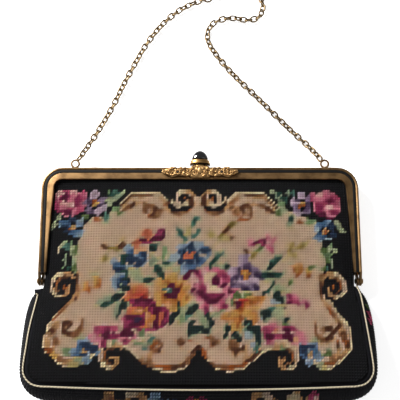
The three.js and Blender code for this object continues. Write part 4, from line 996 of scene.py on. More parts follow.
@dataclass(frozen=True)
class TentStitch:
    """One slanting stitch: a plump closed strand from one corner of its cell to the other."""

    sections: tuple[float, ...] = (0.2, 0.5, 0.8)
    ends: tuple[float, float] = (0.03, 0.97)
    swell: tuple[float, float] = (0.14, 0.72)
    half_width: float = 0.31
    crest: float = 0.48 * MM
    sink: float = 0.12 * MM
    # Painted light: each stitch's colour is brightened on its crest, a painted highlight, and darkened at its
    # feet, painted shade between the stitches.
    crest_painted_highlight: float = 1.6
    foot_painted_shade: float = 0.12

    def template(self) -> tuple[np.ndarray, list[tuple[int, ...]]]:
        """The stitch in its own cell.

        Returns:
            Vertices as share across, share up and height in metres, and faces.
        """
        first, last = self.ends
        vertices = [(first, first, -self.sink)]
        for share in self.sections:
            swell = math.sin(math.pi * (self.swell[0] + self.swell[1] * share))
            reach = self.half_width * swell * math.sqrt(0.5)
            vertices.append((share - reach, share + reach, -self.sink))
            vertices.append((share, share, self.crest * swell))
            vertices.append((share + reach, share - reach, -self.sink))
        vertices.append((last, last, -self.sink))
        faces: list[tuple[int, ...]] = [(0, 2, 1), (0, 3, 2), (0, 1, 3)]
        for k in range(len(self.sections) - 1):
            a, b = 1 + 3 * k, 4 + 3 * k
            faces += [(a, a + 1, b + 1, b), (a + 1, a + 2, b + 2, b + 1), (a + 2, a, b, b + 2)]
        a, tip = 3 * len(self.sections) - 2, 3 * len(self.sections) + 1
        faces += [(a, a + 1, tip), (a + 1, a + 2, tip), (a + 2, a, tip)]
        return np.array(vertices), faces


def stitched(
    name: str,
    corners: np.ndarray,
    outward: np.ndarray,
    cells: np.ndarray,
    colours: np.ndarray,
    stitch: TentStitch,
) -> bpy.types.Object:
    """Lays a stitch in every chosen cell of a net of corners.

    Args:
        name: The piece's name.
        corners: Places of the cells' corners, by line and column.
        outward: Directions away from the cloth at the same corners.
        cells: Line and column of each chosen cell.
        colours: One colour for each chosen cell.
        stitch: The stitch.

    Returns:
        The stitches as one piece with a colour for each, lightened on the crests as a painted highlight and
        darkened at the feet as painted shade.
    """
    shape, faces = stitch.template()
    line, column = cells[:, 0], cells[:, 1]

    def at(net: np.ndarray, across: float, up: float) -> np.ndarray:
        """A net's value at a share of every cell."""
        low = net[line + 1, column] * (1 - across) + net[line + 1, column + 1] * across
        high = net[line, column] * (1 - across) + net[line, column + 1] * across
        return low * (1 - up) + high * up

    layers = [at(corners, u, v) + at(outward, u, v) * h for u, v, h in shape]
    vertices = np.stack(layers, axis=1).reshape(-1, 3)
    size = len(shape)
    every = [
        tuple(size * k + v for v in face)
        for k in range(len(cells))
        for face in faces
    ]
    piece = mesh_piece(name, vertices, every)
    # Painted highlight on the crests and painted shade at the feet, multiplied into the thread colours.
    shade = np.where(shape[:, 2] > 0, stitch.crest_painted_highlight, stitch.foot_painted_shade)
    paint(piece, np.repeat(colours, size, axis=0) * np.tile(shade, len(cells))[:, None])
    pick(piece)
    bpy.ops.object.shade_smooth()
    return piece


def paint_black(piece: bpy.types.Object) -> None:
    """Writes the black thread's colour on every vertex."""
    paint(piece, np.full((len(piece.data.vertices), 3), linear(T.BLACK.value)))


def paint(piece: bpy.types.Object, colours: np.ndarray) -> None:
    """Writes one thread colour on every vertex.

    Args:
        piece: The piece.
        colours: Linear red, green and blue, one row a vertex.
    """
    layer = piece.data.color_attributes.new("thread", "FLOAT_COLOR", "POINT")
    rgba = np.c_[colours, np.ones(len(colours))].astype(np.float32)
    layer.data.foreach_set("color", rgba.ravel())


# Shader maths


class Wire:
    """A shader socket that sums can be written with."""

    def __init__(self, graph: "Graph", socket: bpy.types.NodeSocket) -> None:
        """Wraps a socket of a graph."""
        self.graph = graph
        self.socket = socket

    def _maths(self, operation: str, first: object, second: object) -> "Wire":
        """A Math node on two values."""
        return self.graph.node("ShaderNodeMath", {"operation": operation}, {0: first, 1: second})

    def __add__(self, other: object) -> "Wire":
        """This plus another."""
        return self._maths("ADD", self, other)

    __radd__ = __add__

    def __sub__(self, other: object) -> "Wire":
        """This less another."""
        return self._maths("SUBTRACT", self, other)

    def __rsub__(self, other: object) -> "Wire":
        """Another less this."""
        return self._maths("SUBTRACT", other, self)

    def __mul__(self, other: object) -> "Wire":
        """This times another."""
        return self._maths("MULTIPLY", self, other)

    __rmul__ = __mul__

    def __truediv__(self, other: object) -> "Wire":
        """This over another."""
        return self._maths("DIVIDE", self, other)

    def __rtruediv__(self, other: object) -> "Wire":
        """Another over this."""
        return self._maths("DIVIDE", other, self)

    def sine(self) -> "Wire":
        """The sine of this."""
        return self._maths("SINE", self, 0.0)

    def span(self, low: float, high: float) -> "Wire":
        """From 0 at low to 1 at high, smoothly, and flat beyond."""
        settings = {"interpolation_type": "SMOOTHSTEP"}
        return self.graph.node("ShaderNodeMapRange", settings, {0: self, 1: low, 2: high})


class Graph:
    """A material's node graph."""

    def __init__(self, name: str) -> None:
        """Starts a material with its shader and the object's own coordinates."""
        self.material = bpy.data.materials.new(name)
        self.material.use_nodes = True
        self.tree = self.material.node_tree
        self.shader = self.tree.nodes["Principled BSDF"]
        self.place = self.node("ShaderNodeTexCoord", {}, {}, "Object")

    def node(self, kind: str, settings: dict, inputs: dict, output: object = 0) -> Wire:
        """Adds a node.

        Args:
            kind: The node's type.
            settings: Its properties, with "stops" for the stops of a ramp.
            inputs: Values or wires by socket number or name.
            output: The output socket's number or name.

        Returns:
            The chosen output.
        """
        node = self.tree.nodes.new(kind)
        for key, value in settings.items():
            if key == "stops":
                ramp = node.color_ramp.elements
                while len(ramp) < len(value):
                    ramp.new(0.5)
                for element, (position, colour) in zip(ramp, value):
                    element.position = position
                    element.color = (*colour, 1.0)
            else:
                setattr(node, key, value)
        for key, value in inputs.items():
            if isinstance(value, Wire):
                self.tree.links.new(value.socket, node.inputs[key])
            else:
                node.inputs[key].default_value = value
        return Wire(self, node.outputs[output])

    def split(self, vector: Wire) -> tuple[Wire, Wire, Wire]:
        """The three parts of a vector."""
        first = self.node("ShaderNodeSeparateXYZ", {}, {0: vector})
        outputs = first.socket.node.outputs
        return first, Wire(self, outputs[1]), Wire(self, outputs[2])

    def noise(
        self, scale: float, detail: float = 4.0, vector: Wire | None = None, rough: float = 0.55
    ) -> Wire:
        """Noise from 0 to 1.

        Args:
            scale: Lumps a metre.
            detail: Finer layers.
            vector: Coordinates, or the object's own.
            rough: Strength of the finer layers.

        Returns:
            The noise.
        """
        inputs = {"Vector": vector or self.place, "Scale": scale, "Detail": detail, "Roughness": rough}
        return self.node("ShaderNodeTexNoise", {}, inputs)

    def mix(self, factor: object, first: object, second: object) -> Wire:
        """A colour between two, as the factor goes from 0 to 1."""
        inputs = {0: factor, 6: as_rgba(first), 7: as_rgba(second)}
        return self.node("ShaderNodeMix", {"data_type": "RGBA"}, inputs, 2)

    def multiply(self, first: object, second: object) -> Wire:
        """Two colours multiplied."""
        settings = {"data_type": "RGBA", "blend_type": "MULTIPLY"}
        return self.node("ShaderNodeMix", settings, {0: 1.0, 6: as_rgba(first), 7: as_rgba(second)}, 2)

    def bump(self, height: Wire, depth: float, normal: Wire | None = None) -> Wire:
        """A bumped normal.

        Args:
            height: Height from 0 to 1.
            depth: Height of 1 in metres.
            normal: The normal beneath.

        Returns:
            The new normal.
        """
        inputs: dict = {"Height": height, "Distance": depth, "Strength": 1.0}
        if normal:
            inputs["Normal"] = normal
        return self.node("ShaderNodeBump", {}, inputs)

    def put(self, **sockets: object) -> None:
        """Sets or links the shader's sockets, with underscores for spaces."""
        for key, value in sockets.items():
            socket = self.shader.inputs[key.replace("_", " ")]
            if isinstance(value, Wire):
                self.tree.links.new(value.socket, socket)
            elif socket.type == "RGBA":
                socket.default_value = as_rgba(value)
            else:
                socket.default_value = value


def as_rgba(colour: object) -> object:
    """A colour with full alpha, or a wire or number as it is."""
    return (*colour, 1.0) if isinstance(colour, tuple) and len(colour) == 3 else colour


@dataclass(frozen=True)
class YarnFinish:
    """Wool and silk threads, in the colours written on the stitches."""

    name: str
    roughness: float = 0.82
    sheen: float = 0.04
    fibre: float = 0.05 * MM

    def make(self) -> bpy.types.Material:
        """Makes the material."""
        g = Graph(self.name)
        thread = g.node("ShaderNodeVertexColor", {"layer_name": "thread"}, {})
        slant = {"Vector": g.place, "Rotation": (0, 0, math.radians(-45)), "Scale": (1.0, 7.0, 7.0)}
        fibres = g.node("ShaderNodeMapping", {}, slant)
        strands = g.noise(900.0, 3.0, fibres)
        fuzz = g.noise(5200.0, 2.0)
        shade = 0.86 + 0.28 * strands
        tone = g.node("ShaderNodeCombineColor", {}, {0: shade, 1: shade, 2: shade})
        g.put(
            Base_Color=g.multiply(thread, tone),
            Roughness=self.roughness + 0.14 * fuzz,
            Normal=g.bump(strands * 0.7 + fuzz * 0.3, self.fibre),
            Sheen_Weight=self.sheen,
            Sheen_Roughness=0.5,
            Specular_IOR_Level=0.18,
        )
        return g.material


@dataclass(frozen=True)
class CanvasFinish:
    """Penelope canvas under the stitches, in the colour painted on it: on the panels, the thread above it
    darkened nearly to black as painted shade in the gaps between the stitches.
    """

    name: str

    def make(self) -> bpy.types.Material:
        """Makes the material."""
        g = Graph(self.name)
        thread = g.node("ShaderNodeVertexColor", {"layer_name": "thread"}, {})
        x, y, z = g.split(g.place)
        weave = (x * (2 * math.pi / (0.76 * MM))).sine() * (y * (2 * math.pi / (0.8 * MM))).sine()
        dust = g.noise(1800.0, 3.0)
        shade = 0.8 + 0.25 * dust + 0.1 * weave
        tone = g.node("ShaderNodeCombineColor", {}, {0: shade, 1: shade, 2: shade})
        g.put(
            Base_Color=g.multiply(thread, tone),
            Roughness=0.85 + 0.1 * dust,
            Normal=g.bump(weave * 0.5 + dust * 0.5, 0.08 * MM),
            Specular_IOR_Level=0.1,
        )
        return g.material


@dataclass(frozen=True)
class CordFinish:
    """Twisted cream silk cord, on a map that runs along and round it, with painted shade in the grooves
    between its strands.
    """

    name: str
    colour: str = "d8cdb2"
    shadow: str = "7a694e"
    lay: float = 1.9 * MM

    def make(self) -> bpy.types.Material:
        """Makes the material."""
        g = Graph(self.name)
        u, v, _ = g.split(g.node("ShaderNodeUVMap", {"uv_map": "cord"}, {}))
        strand = 0.5 + 0.5 * ((u / self.lay + v * 2.0) * (2 * math.pi)).sine()
        dust = g.noise(900.0, 3.0)
        # Painted shade: the grooves between the strands take the shadow colour, and the crests take the
        # cord's own colour.
        wear_and_groove_shade = strand.span(0.0, 0.5)
        light = g.mix(dust, linear(self.colour), linear("c2b494"))
        g.put(
            Base_Color=g.mix(wear_and_groove_shade, linear(self.shadow), light),
            Roughness=0.62 + 0.2 * dust,
            Normal=g.bump(strand, 0.22 * MM),
            Sheen_Weight=0.2,
        )
        return g.material


@dataclass(frozen=True)
class MetalFinish:
    """Old gilt metal: rubbed bright and dull patches and brown patina stains, both spread by noise, and fine
    scratches.
    """

    name: str
    bright: str
    dull: str
    dark: str
    roughness: float = 0.32
    patina: float = 0.5
    grain: float = 1.0

    def make(self) -> bpy.types.Material:
        """Makes the material."""
        g = Graph(self.name)
        clouds = g.noise(140.0 * self.grain, 5.0)
        spots = g.noise(1500.0 * self.grain, 4.0, rough=0.7)
        wear_and_groove_shade = (clouds * 0.65 + spots * 0.35).span(0.36, 0.64)
        stain = (spots * 0.6 + clouds * 0.4).span(0.5, 0.72) * self.patina
        drawn = g.node("ShaderNodeMapping", {}, {"Vector": g.place, "Scale": (0.25, 2.0, 2.0)})
        scratches = g.noise(2600.0, 2.0, drawn)
        base = g.mix(wear_and_groove_shade, linear(self.dull), linear(self.bright))
        g.put(
            Base_Color=g.mix(stain, base, linear(self.dark)),
            Metallic=1.0 - 0.45 * stain,
            Roughness=self.roughness + 0.22 * stain + 0.12 * scratches,
            Normal=g.bump(scratches * 0.5 + spots * 0.5, 0.02 * MM),
        )
        return g.material


@dataclass(frozen=True)
class GlossFinish:
    """Black enamel or stone: deep, glossy and slightly dusty."""

    name: str
    colour: str = "08080a"
    roughness: float = 0.1
    coat: float = 0.6
    specular: float = 0.5

    def make(self) -> bpy.types.Material:
        """Makes the material."""
        g = Graph(self.name)
        clouds = g.noise(420.0, 4.0)
        dust = g.noise(2600.0, 3.0, rough=0.7)
        g.put(
            Base_Color=g.mix(dust.span(0.62, 0.85), linear(self.colour), linear("2c2a28")),
            Roughness=self.roughness + 0.16 * clouds,
            Coat_Weight=self.coat,
            Coat_Roughness=0.06,
            Specular_IOR_Level=self.specular,
            Normal=g.bump(clouds, 0.012 * MM),
        )
        return g.material


@dataclass(frozen=True)
class PaperFinish:
    """The pale sweep of paper that the bag lies on."""

    name: str = "pale_paper"
    glow: float = 0.7

    def make(self) -> bpy.types.Material:
        """Makes the material."""
        g = Graph(self.name)
        tooth = g.noise(700.0, 3.0)
        g.put(
            Base_Color=g.mix(tooth, (0.86, 0.86, 0.862), (0.9, 0.9, 0.9)),
            Roughness=0.9,
            Specular_IOR_Level=0.2,
            Emission_Color=(1.0, 1.0, 1.0),
            Emission_Strength=self.glow,
            Normal=g.bump(tooth, 0.03 * MM),
        )
        return g.material


# Sub-assemblies


class Outward(Enum):
    """The way a stitched cloth faces."""

    UP = (0.0, 0.0, 1.0)
    DOWN = (0.0, 0.0, -1.0)


def finish_piece(
    piece: bpy.types.Object, body: str, slot: str, look: bpy.types.Material, *stands_for: str
) -> None:
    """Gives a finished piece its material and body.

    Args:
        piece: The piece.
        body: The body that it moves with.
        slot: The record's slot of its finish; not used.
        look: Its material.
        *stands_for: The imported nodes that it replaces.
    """
    piece.data.materials.clear()
    piece.data.materials.append(look)
    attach(piece, body)
    if stands_for:
        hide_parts(*stands_for)
    LOG.info("%s: %d faces", piece.name, len(piece.data.polygons))


def surface_of(piece: bpy.types.Object) -> BVHTree:
    """A search tree of a piece's faces."""
    mesh = piece.data
    corners = [v.co.copy() for v in mesh.vertices]
    return BVHTree.FromPolygons(corners, [tuple(p.vertices) for p in mesh.polygons])


def tube_rings(node: str, start: Sequence[float], sides: int = 8) -> np.ndarray:
    """The middles of the rings that a packed tube is made of, from one end to the other.

    Args:
        node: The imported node.
        start: A point near the end where the line starts.
        sides: Corners of each ring.

    Returns:
        The middles, one a row.
    """
    piece = merged_copy(node, "rings")
    places = np.array([v.co for v in piece.data.vertices])
    beside: list[set[int]] = [set() for _ in places]
    for edge in piece.data.edges:
        a, b = edge.vertices
        beside[a].add(b)
        beside[b].add(a)
    first = int(np.argmin(np.linalg.norm(places - np.array(start), axis=1)))
    layer = set(np.argsort(np.linalg.norm(places - places[first], axis=1))[:sides].tolist())
    seen = set(layer)
    middles = []
    while layer:
        middles.append(places[list(layer)].mean(axis=0))
        layer = set().union(*(beside[v] for v in layer)) - seen
        seen |= layer
    bpy.data.objects.remove(piece)
    return np.array(middles)


@dataclass
class Cloth:
    """The three stitched cloths: front with the flowers, back in black, and the gusset between."""

    frame_edge: float = 63.4 * MM
    column: float = 1.513 * MM
    row: float = 1.572 * MM
    columns: int = 131
    rows: int = 84
    gusset_rows: int = 17
    back_seam: float = 3.9 * MM
    shrink: float = 0.42 * MM
    # Painted shade: the canvas takes the colour of the thread above it times this, nearly black, for the
    # shadow in the gaps between the stitches.
    canvas_painted_shade: float = 0.012
    facing: float = 0.25
    rim_gap: float = 0.9 * MM
    ray_height: float = 0.1
    ray_beside: float = 0.02
    ray_reach: float = 0.05
    ray_sink: float = 0.004
    front_seed: int = 7
    back_seed: int = 11
    gusset_seed: int = 13
    stitch: TentStitch = field(default_factory=TentStitch)
    plain_stitch: TentStitch = field(default_factory=lambda: TentStitch(sections=(0.26, 0.74)))
    yarn: Yarn = field(default_factory=Yarn)

    def front_chart(self) -> Chart:
        """Works the front's chart."""
        chart = Chart(self.columns, self.rows, T.BLACK)
        work_front(chart)
        return chart

    def canvas(self, node: str, name: str, fineness: int) -> bpy.types.Object:
        """A cloth's canvas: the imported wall, smoothed and taken in under the stitches.

        Args:
            node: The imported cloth.
            name: The canvas's name.
            fineness: Subdivisions.

        Returns:
            The canvas.
        """
        piece = merged_copy(node, name)
        modify(piece, "SUBSURF", levels=fineness, render_levels=fineness)
        modify(piece, "DISPLACE", strength=-self.shrink, mid_level=0.0)
        smooth(piece, 60.0)
        return piece

    def net(self, canvas: bpy.types.Object, side: Outward) -> tuple[np.ndarray, np.ndarray, np.ndarray]:
        """The corners of a panel's cells, laid on its canvas.

        Args:
            canvas: The panel's canvas.
            side: The way it faces.

        Returns:
            Places, directions outward, and whether each corner lies on the canvas.
        """
        tree = surface_of(canvas)
        way = Vector(side.value)
        shape = (self.rows + 1, self.columns + 1)
        places, outward, found = np.zeros((*shape, 3)), np.zeros((*shape, 3)), np.zeros(shape, bool)
        for i in range(shape[0]):
            for j in range(shape[1]):
                x = (j - self.columns / 2) * self.column
                y = self.frame_edge - i * self.row
                spot, normal, _, _ = tree.ray_cast(Vector((x, y, 0.0)) + way * self.ray_height, -way)
                if spot and normal.dot(way) > self.facing:
                    places[i, j], outward[i, j], found[i, j] = spot, normal, True
        return places, outward, found

    def paint_canvas_shade(self, canvas: bpy.types.Object, chart: Chart) -> None:
        """Colours a canvas with painted shade: the threads above it, darkened nearly to black, for the shadow
        in the gaps between the stitches.
        """
        places = np.array([v.co for v in canvas.data.vertices])
        column = np.clip((places[:, 0] / self.column + self.columns / 2).astype(int), 0, self.columns - 1)
        row = np.clip(((self.frame_edge - places[:, 1]) / self.row).astype(int), 0, self.rows - 1)
        paint(canvas, chart.colours()[row, column] * self.canvas_painted_shade)

    def build_front(self) -> None:
        """Makes the front canvas and its stitches, where the frame leaves them open."""
        chart = self.front_chart()
        canvas = self.canvas("front_panel", "front_canvas", 2)
        self.paint_canvas_shade(canvas, chart)
        places, outward, found = self.net(canvas, Outward.UP)
        covered = self.under(places, "frame_front", Outward.UP)
        cells = self.whole_cells(found, covered)
        kept = chart.index[cells[:, 0], cells[:, 1]]
        ground = kept == THREADS.index(T.FIELD)
        colours = self.yarn.vary(chart.colours()[cells[:, 0], cells[:, 1]], ground, self.front_seed)
        piece = stitched("front_stitches", places, outward, cells, colours, self.stitch)
        look = CanvasFinish("penelope_canvas_front").make()
        finish_piece(canvas, "bag", "stitched_front", look, "front_panel")
        finish_piece(piece, "bag", "stitched_front", YarnFinish("petit_point_front").make())

    def build_back(self) -> None:
        """Makes the back canvas and its plain black stitches."""
        chart = Chart(self.columns, self.rows, T.BLACK)
        canvas = self.canvas("back_panel", "back_canvas", 1)
        self.paint_canvas_shade(canvas, chart)
        places, outward, found = self.net(canvas, Outward.DOWN)
        covered = self.under(places, "frame_back", Outward.DOWN)
        cells = self.whole_cells(found, covered)
        threads = chart.colours()[cells[:, 0], cells[:, 1]]
        colours = self.yarn.vary(threads, np.zeros(len(cells)), self.back_seed)
        mirrored_net = places[:, ::-1], outward[:, ::-1]
        flipped = np.c_[cells[:, 0], self.columns - 1 - cells[:, 1]]
        piece = stitched("back_stitches", *mirrored_net, flipped, colours, self.plain_stitch)
        look = CanvasFinish("penelope_canvas_back").make()
        finish_piece(canvas, "bag", "stitched_back", look, "back_panel")
        finish_piece(piece, "bag", "stitched_back", YarnFinish("petit_point_back").make())

    def under(self, places: np.ndarray, node: str, side: Outward) -> np.ndarray:
        """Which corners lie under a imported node.

        Args:
            places: The corners.
            node: The node that may cover them.
            side: The way from the corners to the node.

        Returns:
            True for each covered corner.
        """
        tree = surface_of(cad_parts[node])
        way = Vector(side.value)
        hidden = np.zeros(places.shape[:2], bool)
        for i in range(places.shape[0]):
            for j in range(places.shape[1]):
                spot, _, _, _ = tree.ray_cast(Vector(places[i, j]) - way * self.ray_sink, way)
                hidden[i, j] = spot is not None
        return hidden

    @staticmethod
    def whole_cells(found: np.ndarray, covered: np.ndarray) -> np.ndarray:
        """The cells whose four corners are on the cloth, unless all four are covered."""
        on = found[:-1, :-1] & found[1:, :-1] & found[:-1, 1:] & found[1:, 1:]
        shut = covered[:-1, :-1] & covered[1:, :-1] & covered[:-1, 1:] & covered[1:, 1:]
        return np.argwhere(on & ~shut)

    def gusset_net(self, canvas: bpy.types.Object) -> tuple[np.ndarray, np.ndarray, np.ndarray]:
        """The corners of the gusset's cells, from the left hinge round the bottom to the right one.

        Args:
            canvas: The gusset's canvas.

        Returns:
            Places, directions outward, and whether each corner lies on the canvas.
        """
        low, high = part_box("piping_front")
        seam = resampled(tube_rings("piping_front", (low.x, high.y, (low.z + high.z) / 2)), self.column)
        ahead = np.gradient(seam[:, :2], axis=0)
        ahead /= np.linalg.norm(ahead, axis=1, keepdims=True)
        tree = surface_of(canvas)
        shape = (self.gusset_rows + 1, len(seam))
        places, outward, found = np.zeros((*shape, 3)), np.zeros((*shape, 3)), np.zeros(shape, bool)
        for j, (x, y, rim) in enumerate(seam):
            away = Vector((ahead[j, 1], -ahead[j, 0], 0.0))
            for i in range(shape[0]):
                z = high.z - i * self.row
                if not self.back_seam < z < rim - self.rim_gap:
                    continue
                beside = Vector((x, y, z)) + away * self.ray_beside
                spot, normal, _, _ = tree.ray_cast(beside, -away, self.ray_reach)
                if spot and normal.dot(away) > self.facing:
                    places[i, j], outward[i, j], found[i, j] = spot, normal, True
        return places, outward, found

    def build_gusset(self) -> None:
        """Makes the gusset's canvas and its stitches, with small scrolls and blooms along the bottom."""
        canvas = self.canvas("gusset", "gusset_canvas", 2)
        paint_black(canvas)
        places, outward, found = self.gusset_net(canvas)
        chart = Chart(places.shape[1] - 1, self.gusset_rows, T.BLACK)
        for motif in GUSSET_MOTIFS:
            motif.work(chart)
        cells = self.whole_cells(found, np.zeros(found.shape, bool))
        threads = chart.colours()[cells[:, 0], cells[:, 1]]
        colours = self.yarn.vary(threads, np.zeros(len(cells)), self.gusset_seed)
        piece = stitched("gusset_stitches", places, outward, cells, colours, self.stitch)
        look = CanvasFinish("penelope_canvas_gusset").make()
        finish_piece(canvas, "bag", "stitched_gusset", look, "gusset")
        finish_piece(piece, "bag", "stitched_gusset", YarnFinish("petit_point_gusset").make())


@dataclass
class Piping:
    """The two seams: a black roll of cloth with a thin cream cord on it, and cloth folded in behind."""

    roll: float = 0.92 * MM
    cord: float = 0.55 * MM
    lift: float = 0.46 * MM
    back_lift: float = 0.3
    fold: float = 1.7 * MM
    fold_in: float = 1.9 * MM
    fold_down: float = 1.3 * MM
    step: float = 1.1 * MM

    def build(self) -> None:
        """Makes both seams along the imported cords."""
        for side, up in (("front", 1.0), ("back", -1.0)):
            low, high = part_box(f"piping_{side}")
            rings = tube_rings(f"piping_{side}", (low.x, high.y, (low.z + high.z) / 2))
            line = resampled(rings, self.step)
            roll = tube(f"seam_roll_{side}", line, self.roll, 10)
            paint_black(roll)
            finish_piece(roll, "bag", "stitched_gusset", CanvasFinish(f"seam_cloth_{side}").make())
            raised = line + np.array([0.0, 0.0, up * self.lift]) * (1.0 if up > 0 else self.back_lift)
            cord = tube(f"piping_cord_{side}", raised, self.cord, 10)
            look = CordFinish(f"twisted_cord_{side}").make()
            finish_piece(cord, "bag", "cream_cord", look, f"piping_{side}")
            ahead = np.gradient(line[:, :2], axis=0)
            ahead /= np.linalg.norm(ahead, axis=1, keepdims=True)
            inward = np.c_[-ahead[:, 1], ahead[:, 0], np.zeros(len(line))]
            fold = line + inward * self.fold_in + np.array([0.0, 0.0, -up * self.fold_down])
            allowance = tube(f"seam_fold_{side}", fold, self.fold, 10)
            paint_black(allowance)
            finish_piece(allowance, "bag", "stitched_gusset", CanvasFinish(f"folded_cloth_{side}").make())


@dataclass
class Mount:
    """The gilt frame: both halves, their enamel lines, the rivets, the clasp's pin and the ornament."""

    bevel: float = 0.22 * MM
    filigree_wire: float = 0.32 * MM
    ornament_top: float = 13.1
    ornament_level: float = 13.05 * MM
    rosette: tuple[float, float] = (13.2, 67.6)
    petals: int = 8
    petal_ring: float = 1.35
    curl_points: int = 26
    curl_turn: float = 2.6 * math.pi
    curl_end: float = 0.25
    curls: tuple[tuple[float, ...], ...] = (
        (4.6, 67.4, 2.2, 200, -1),
        (8.8, 68.6, 1.9, 20, 1),
        (17.4, 68.0, 1.8, 160, -1),
        (20.6, 67.2, 1.3, 20, 1),
    )
    leaves: tuple[tuple[float, ...], ...] = (
        (2.6, 65.6, 1.7, 35),
        (6.8, 65.9, 1.6, -20),
        (9.8, 65.8, 1.5, 30),
        (15.6, 66.0, 1.4, -25),
        (18.8, 66.2, 1.4, 25),
        (21.6, 68.4, 1.3, 10),
        (11.2, 70.2, 1.2, 15),
        (15.4, 70.2, 1.2, -15),
    )
    inlay_bevel: float = 0.12 * MM
    rivet_bevel: float = 0.2 * MM
    plate_bevel: float = 0.1 * MM
    gilt: MetalFinish = MetalFinish("gilt_brass", "96764f", "604931", "281e15", 0.36, 0.8)
    aged: MetalFinish = MetalFinish("aged_brass", "85683f", "594427", "261c13")
    relief: MetalFinish = MetalFinish("filigree_gilt", "c09a66", "94724a", "3a2a1b", 0.4, 0.6, 2.0)

    def build(self) -> None:
        """Makes every part of the mount."""
        gilt, aged = self.gilt.make(), self.aged.make()
        enamel = GlossFinish("black_enamel", "070605", 0.5, 0.0, 0.2).make()
        for half in ("front", "back"):
            self.cast(f"frame_{half}", f"mount_{half}", self.bevel, "gilt_brass", gilt)
            self.cast(f"enamel_line_{half}", f"enamel_inlay_{half}", self.inlay_bevel, "black_enamel", enamel)
        for side in ("left", "right"):
            self.cast(f"hinge_rivet_{side}", f"hinge_knuckle_{side}", self.rivet_bevel, "aged_brass", aged)
        pin = merged_copy("clasp_pin", "clasp_hinge_pin")
        smooth(pin, 40.0)
        finish_piece(pin, "bag", "aged_brass", aged, "clasp_pin")
        relief = self.relief.make()
        self.build_filigree(relief, enamel)
        self.cast("ornament", "filigree_plate", self.plate_bevel, "gilt_brass", relief, 1)

    def cast(
        self, node: str, name: str, bevel: float, slot: str, look: bpy.types.Material, segments: int = 2
    ) -> None:
        """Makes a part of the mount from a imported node, with its edges rounded.

        Args:
            node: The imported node.
            name: The part's name.
            bevel: Width of its rounded edges.
            slot: The slot of its finish.
            look: Its material.
            segments: Steps of the rounding.
        """
        piece = merged_copy(node, name)
        sharp = math.radians(40)
        modify(piece, "BEVEL", width=bevel, segments=segments, limit_method="ANGLE", angle_limit=sharp)
        smooth(piece, 40.0)
        finish_piece(piece, "bag", slot, look, node)

    def build_filigree(self, gilt: bpy.types.Material, enamel: bpy.types.Material) -> None:
        """Lays curled wires, leaves and two rosettes on the ornament.

        Args:
            gilt: The metal's material.
            enamel: The dark eyes' material.
        """
        top, level = self.ornament_top, self.ornament_level
        wires, beads, eyes = [], [], []
        points, (out, up) = self.curl_points, self.rosette
        for side in (-1, 1):
            for k, (x, y, reach, start, hand) in enumerate(self.curls):
                turn = np.radians(start) + hand * np.linspace(0, self.curl_turn, points)
                radius = reach * np.linspace(1.0, self.curl_end, points) * MM
                across, along = x * MM + radius * np.cos(turn), y * MM + radius * np.sin(turn)
                line = np.c_[side * across, along, np.full(points, level)]
                wires.append(tube(f"wire_{side}_{k}", line, self.filigree_wire, 6))
            for k in range(self.petals):
                degrees = 360 / self.petals * k
                across = self.petal_ring * math.cos(math.radians(degrees))
                along = self.petal_ring * math.sin(math.radians(degrees))
                place = (side * out + across, up + along, top)
                beads.append(bead(f"petal_{side}_{k}", place, (0.75, 0.5, 0.4), degrees))
            eyes.append(bead(f"eye_{side}", (side * out, up, top), (0.85, 0.85, 0.35), 0))
            for k, (x, y, size, turn) in enumerate(self.leaves):
                reach = (size, size * 0.42, 0.4)
                beads.append(bead(f"leaf_{side}_{k}", (side * x, y, top), reach, side * turn))
        beads.append(bead("crest", (0, 68.6, top), (1.5, 2.2, 0.55), 0))
        scrolls = joined("filigree_scrolls", wires + beads)
        smooth(scrolls, 60.0)
        finish_piece(scrolls, "bag", "gilt_brass", gilt)
        dark = joined("rosette_eyes", eyes)
        smooth(dark, 60.0)
        finish_piece(dark, "bag", "black_enamel", enamel)


@dataclass
class Clasp:
    """The lever clasp: gilt collar, black ring and black cabochon, all on the lever's body. The black ring at
    the foot is partly painted shade, for the dark band where the clasp meets the frame.
    """

    def build(self) -> None:
        """Makes the three parts of the clasp."""
        gilt = MetalFinish("clasp_gilt", "b8945f", "8c6a40", "3a2a1b").make()
        enamel = GlossFinish("clasp_enamel").make()
        stone = GlossFinish("cabochon_black", "060608", 0.06, 1.0).make()
        parts = (
            ("clasp_lever", "clasp_collar", "gilt_brass", gilt),
            # The black ring stands for the dark band at the clasp's foot and is partly painted shade there.
            ("clasp_enamel_ring", "clasp_band", "black_enamel", enamel),
            ("clasp_cabochon", "cabochon", "black_stone", stone),
        )
        for node, name, slot, look in parts:
            piece = merged_copy(node, name)
            modify(piece, "SUBSURF", levels=1, render_levels=1)
            smooth(piece, 50.0)
            finish_piece(piece, "clasp", slot, look, node)


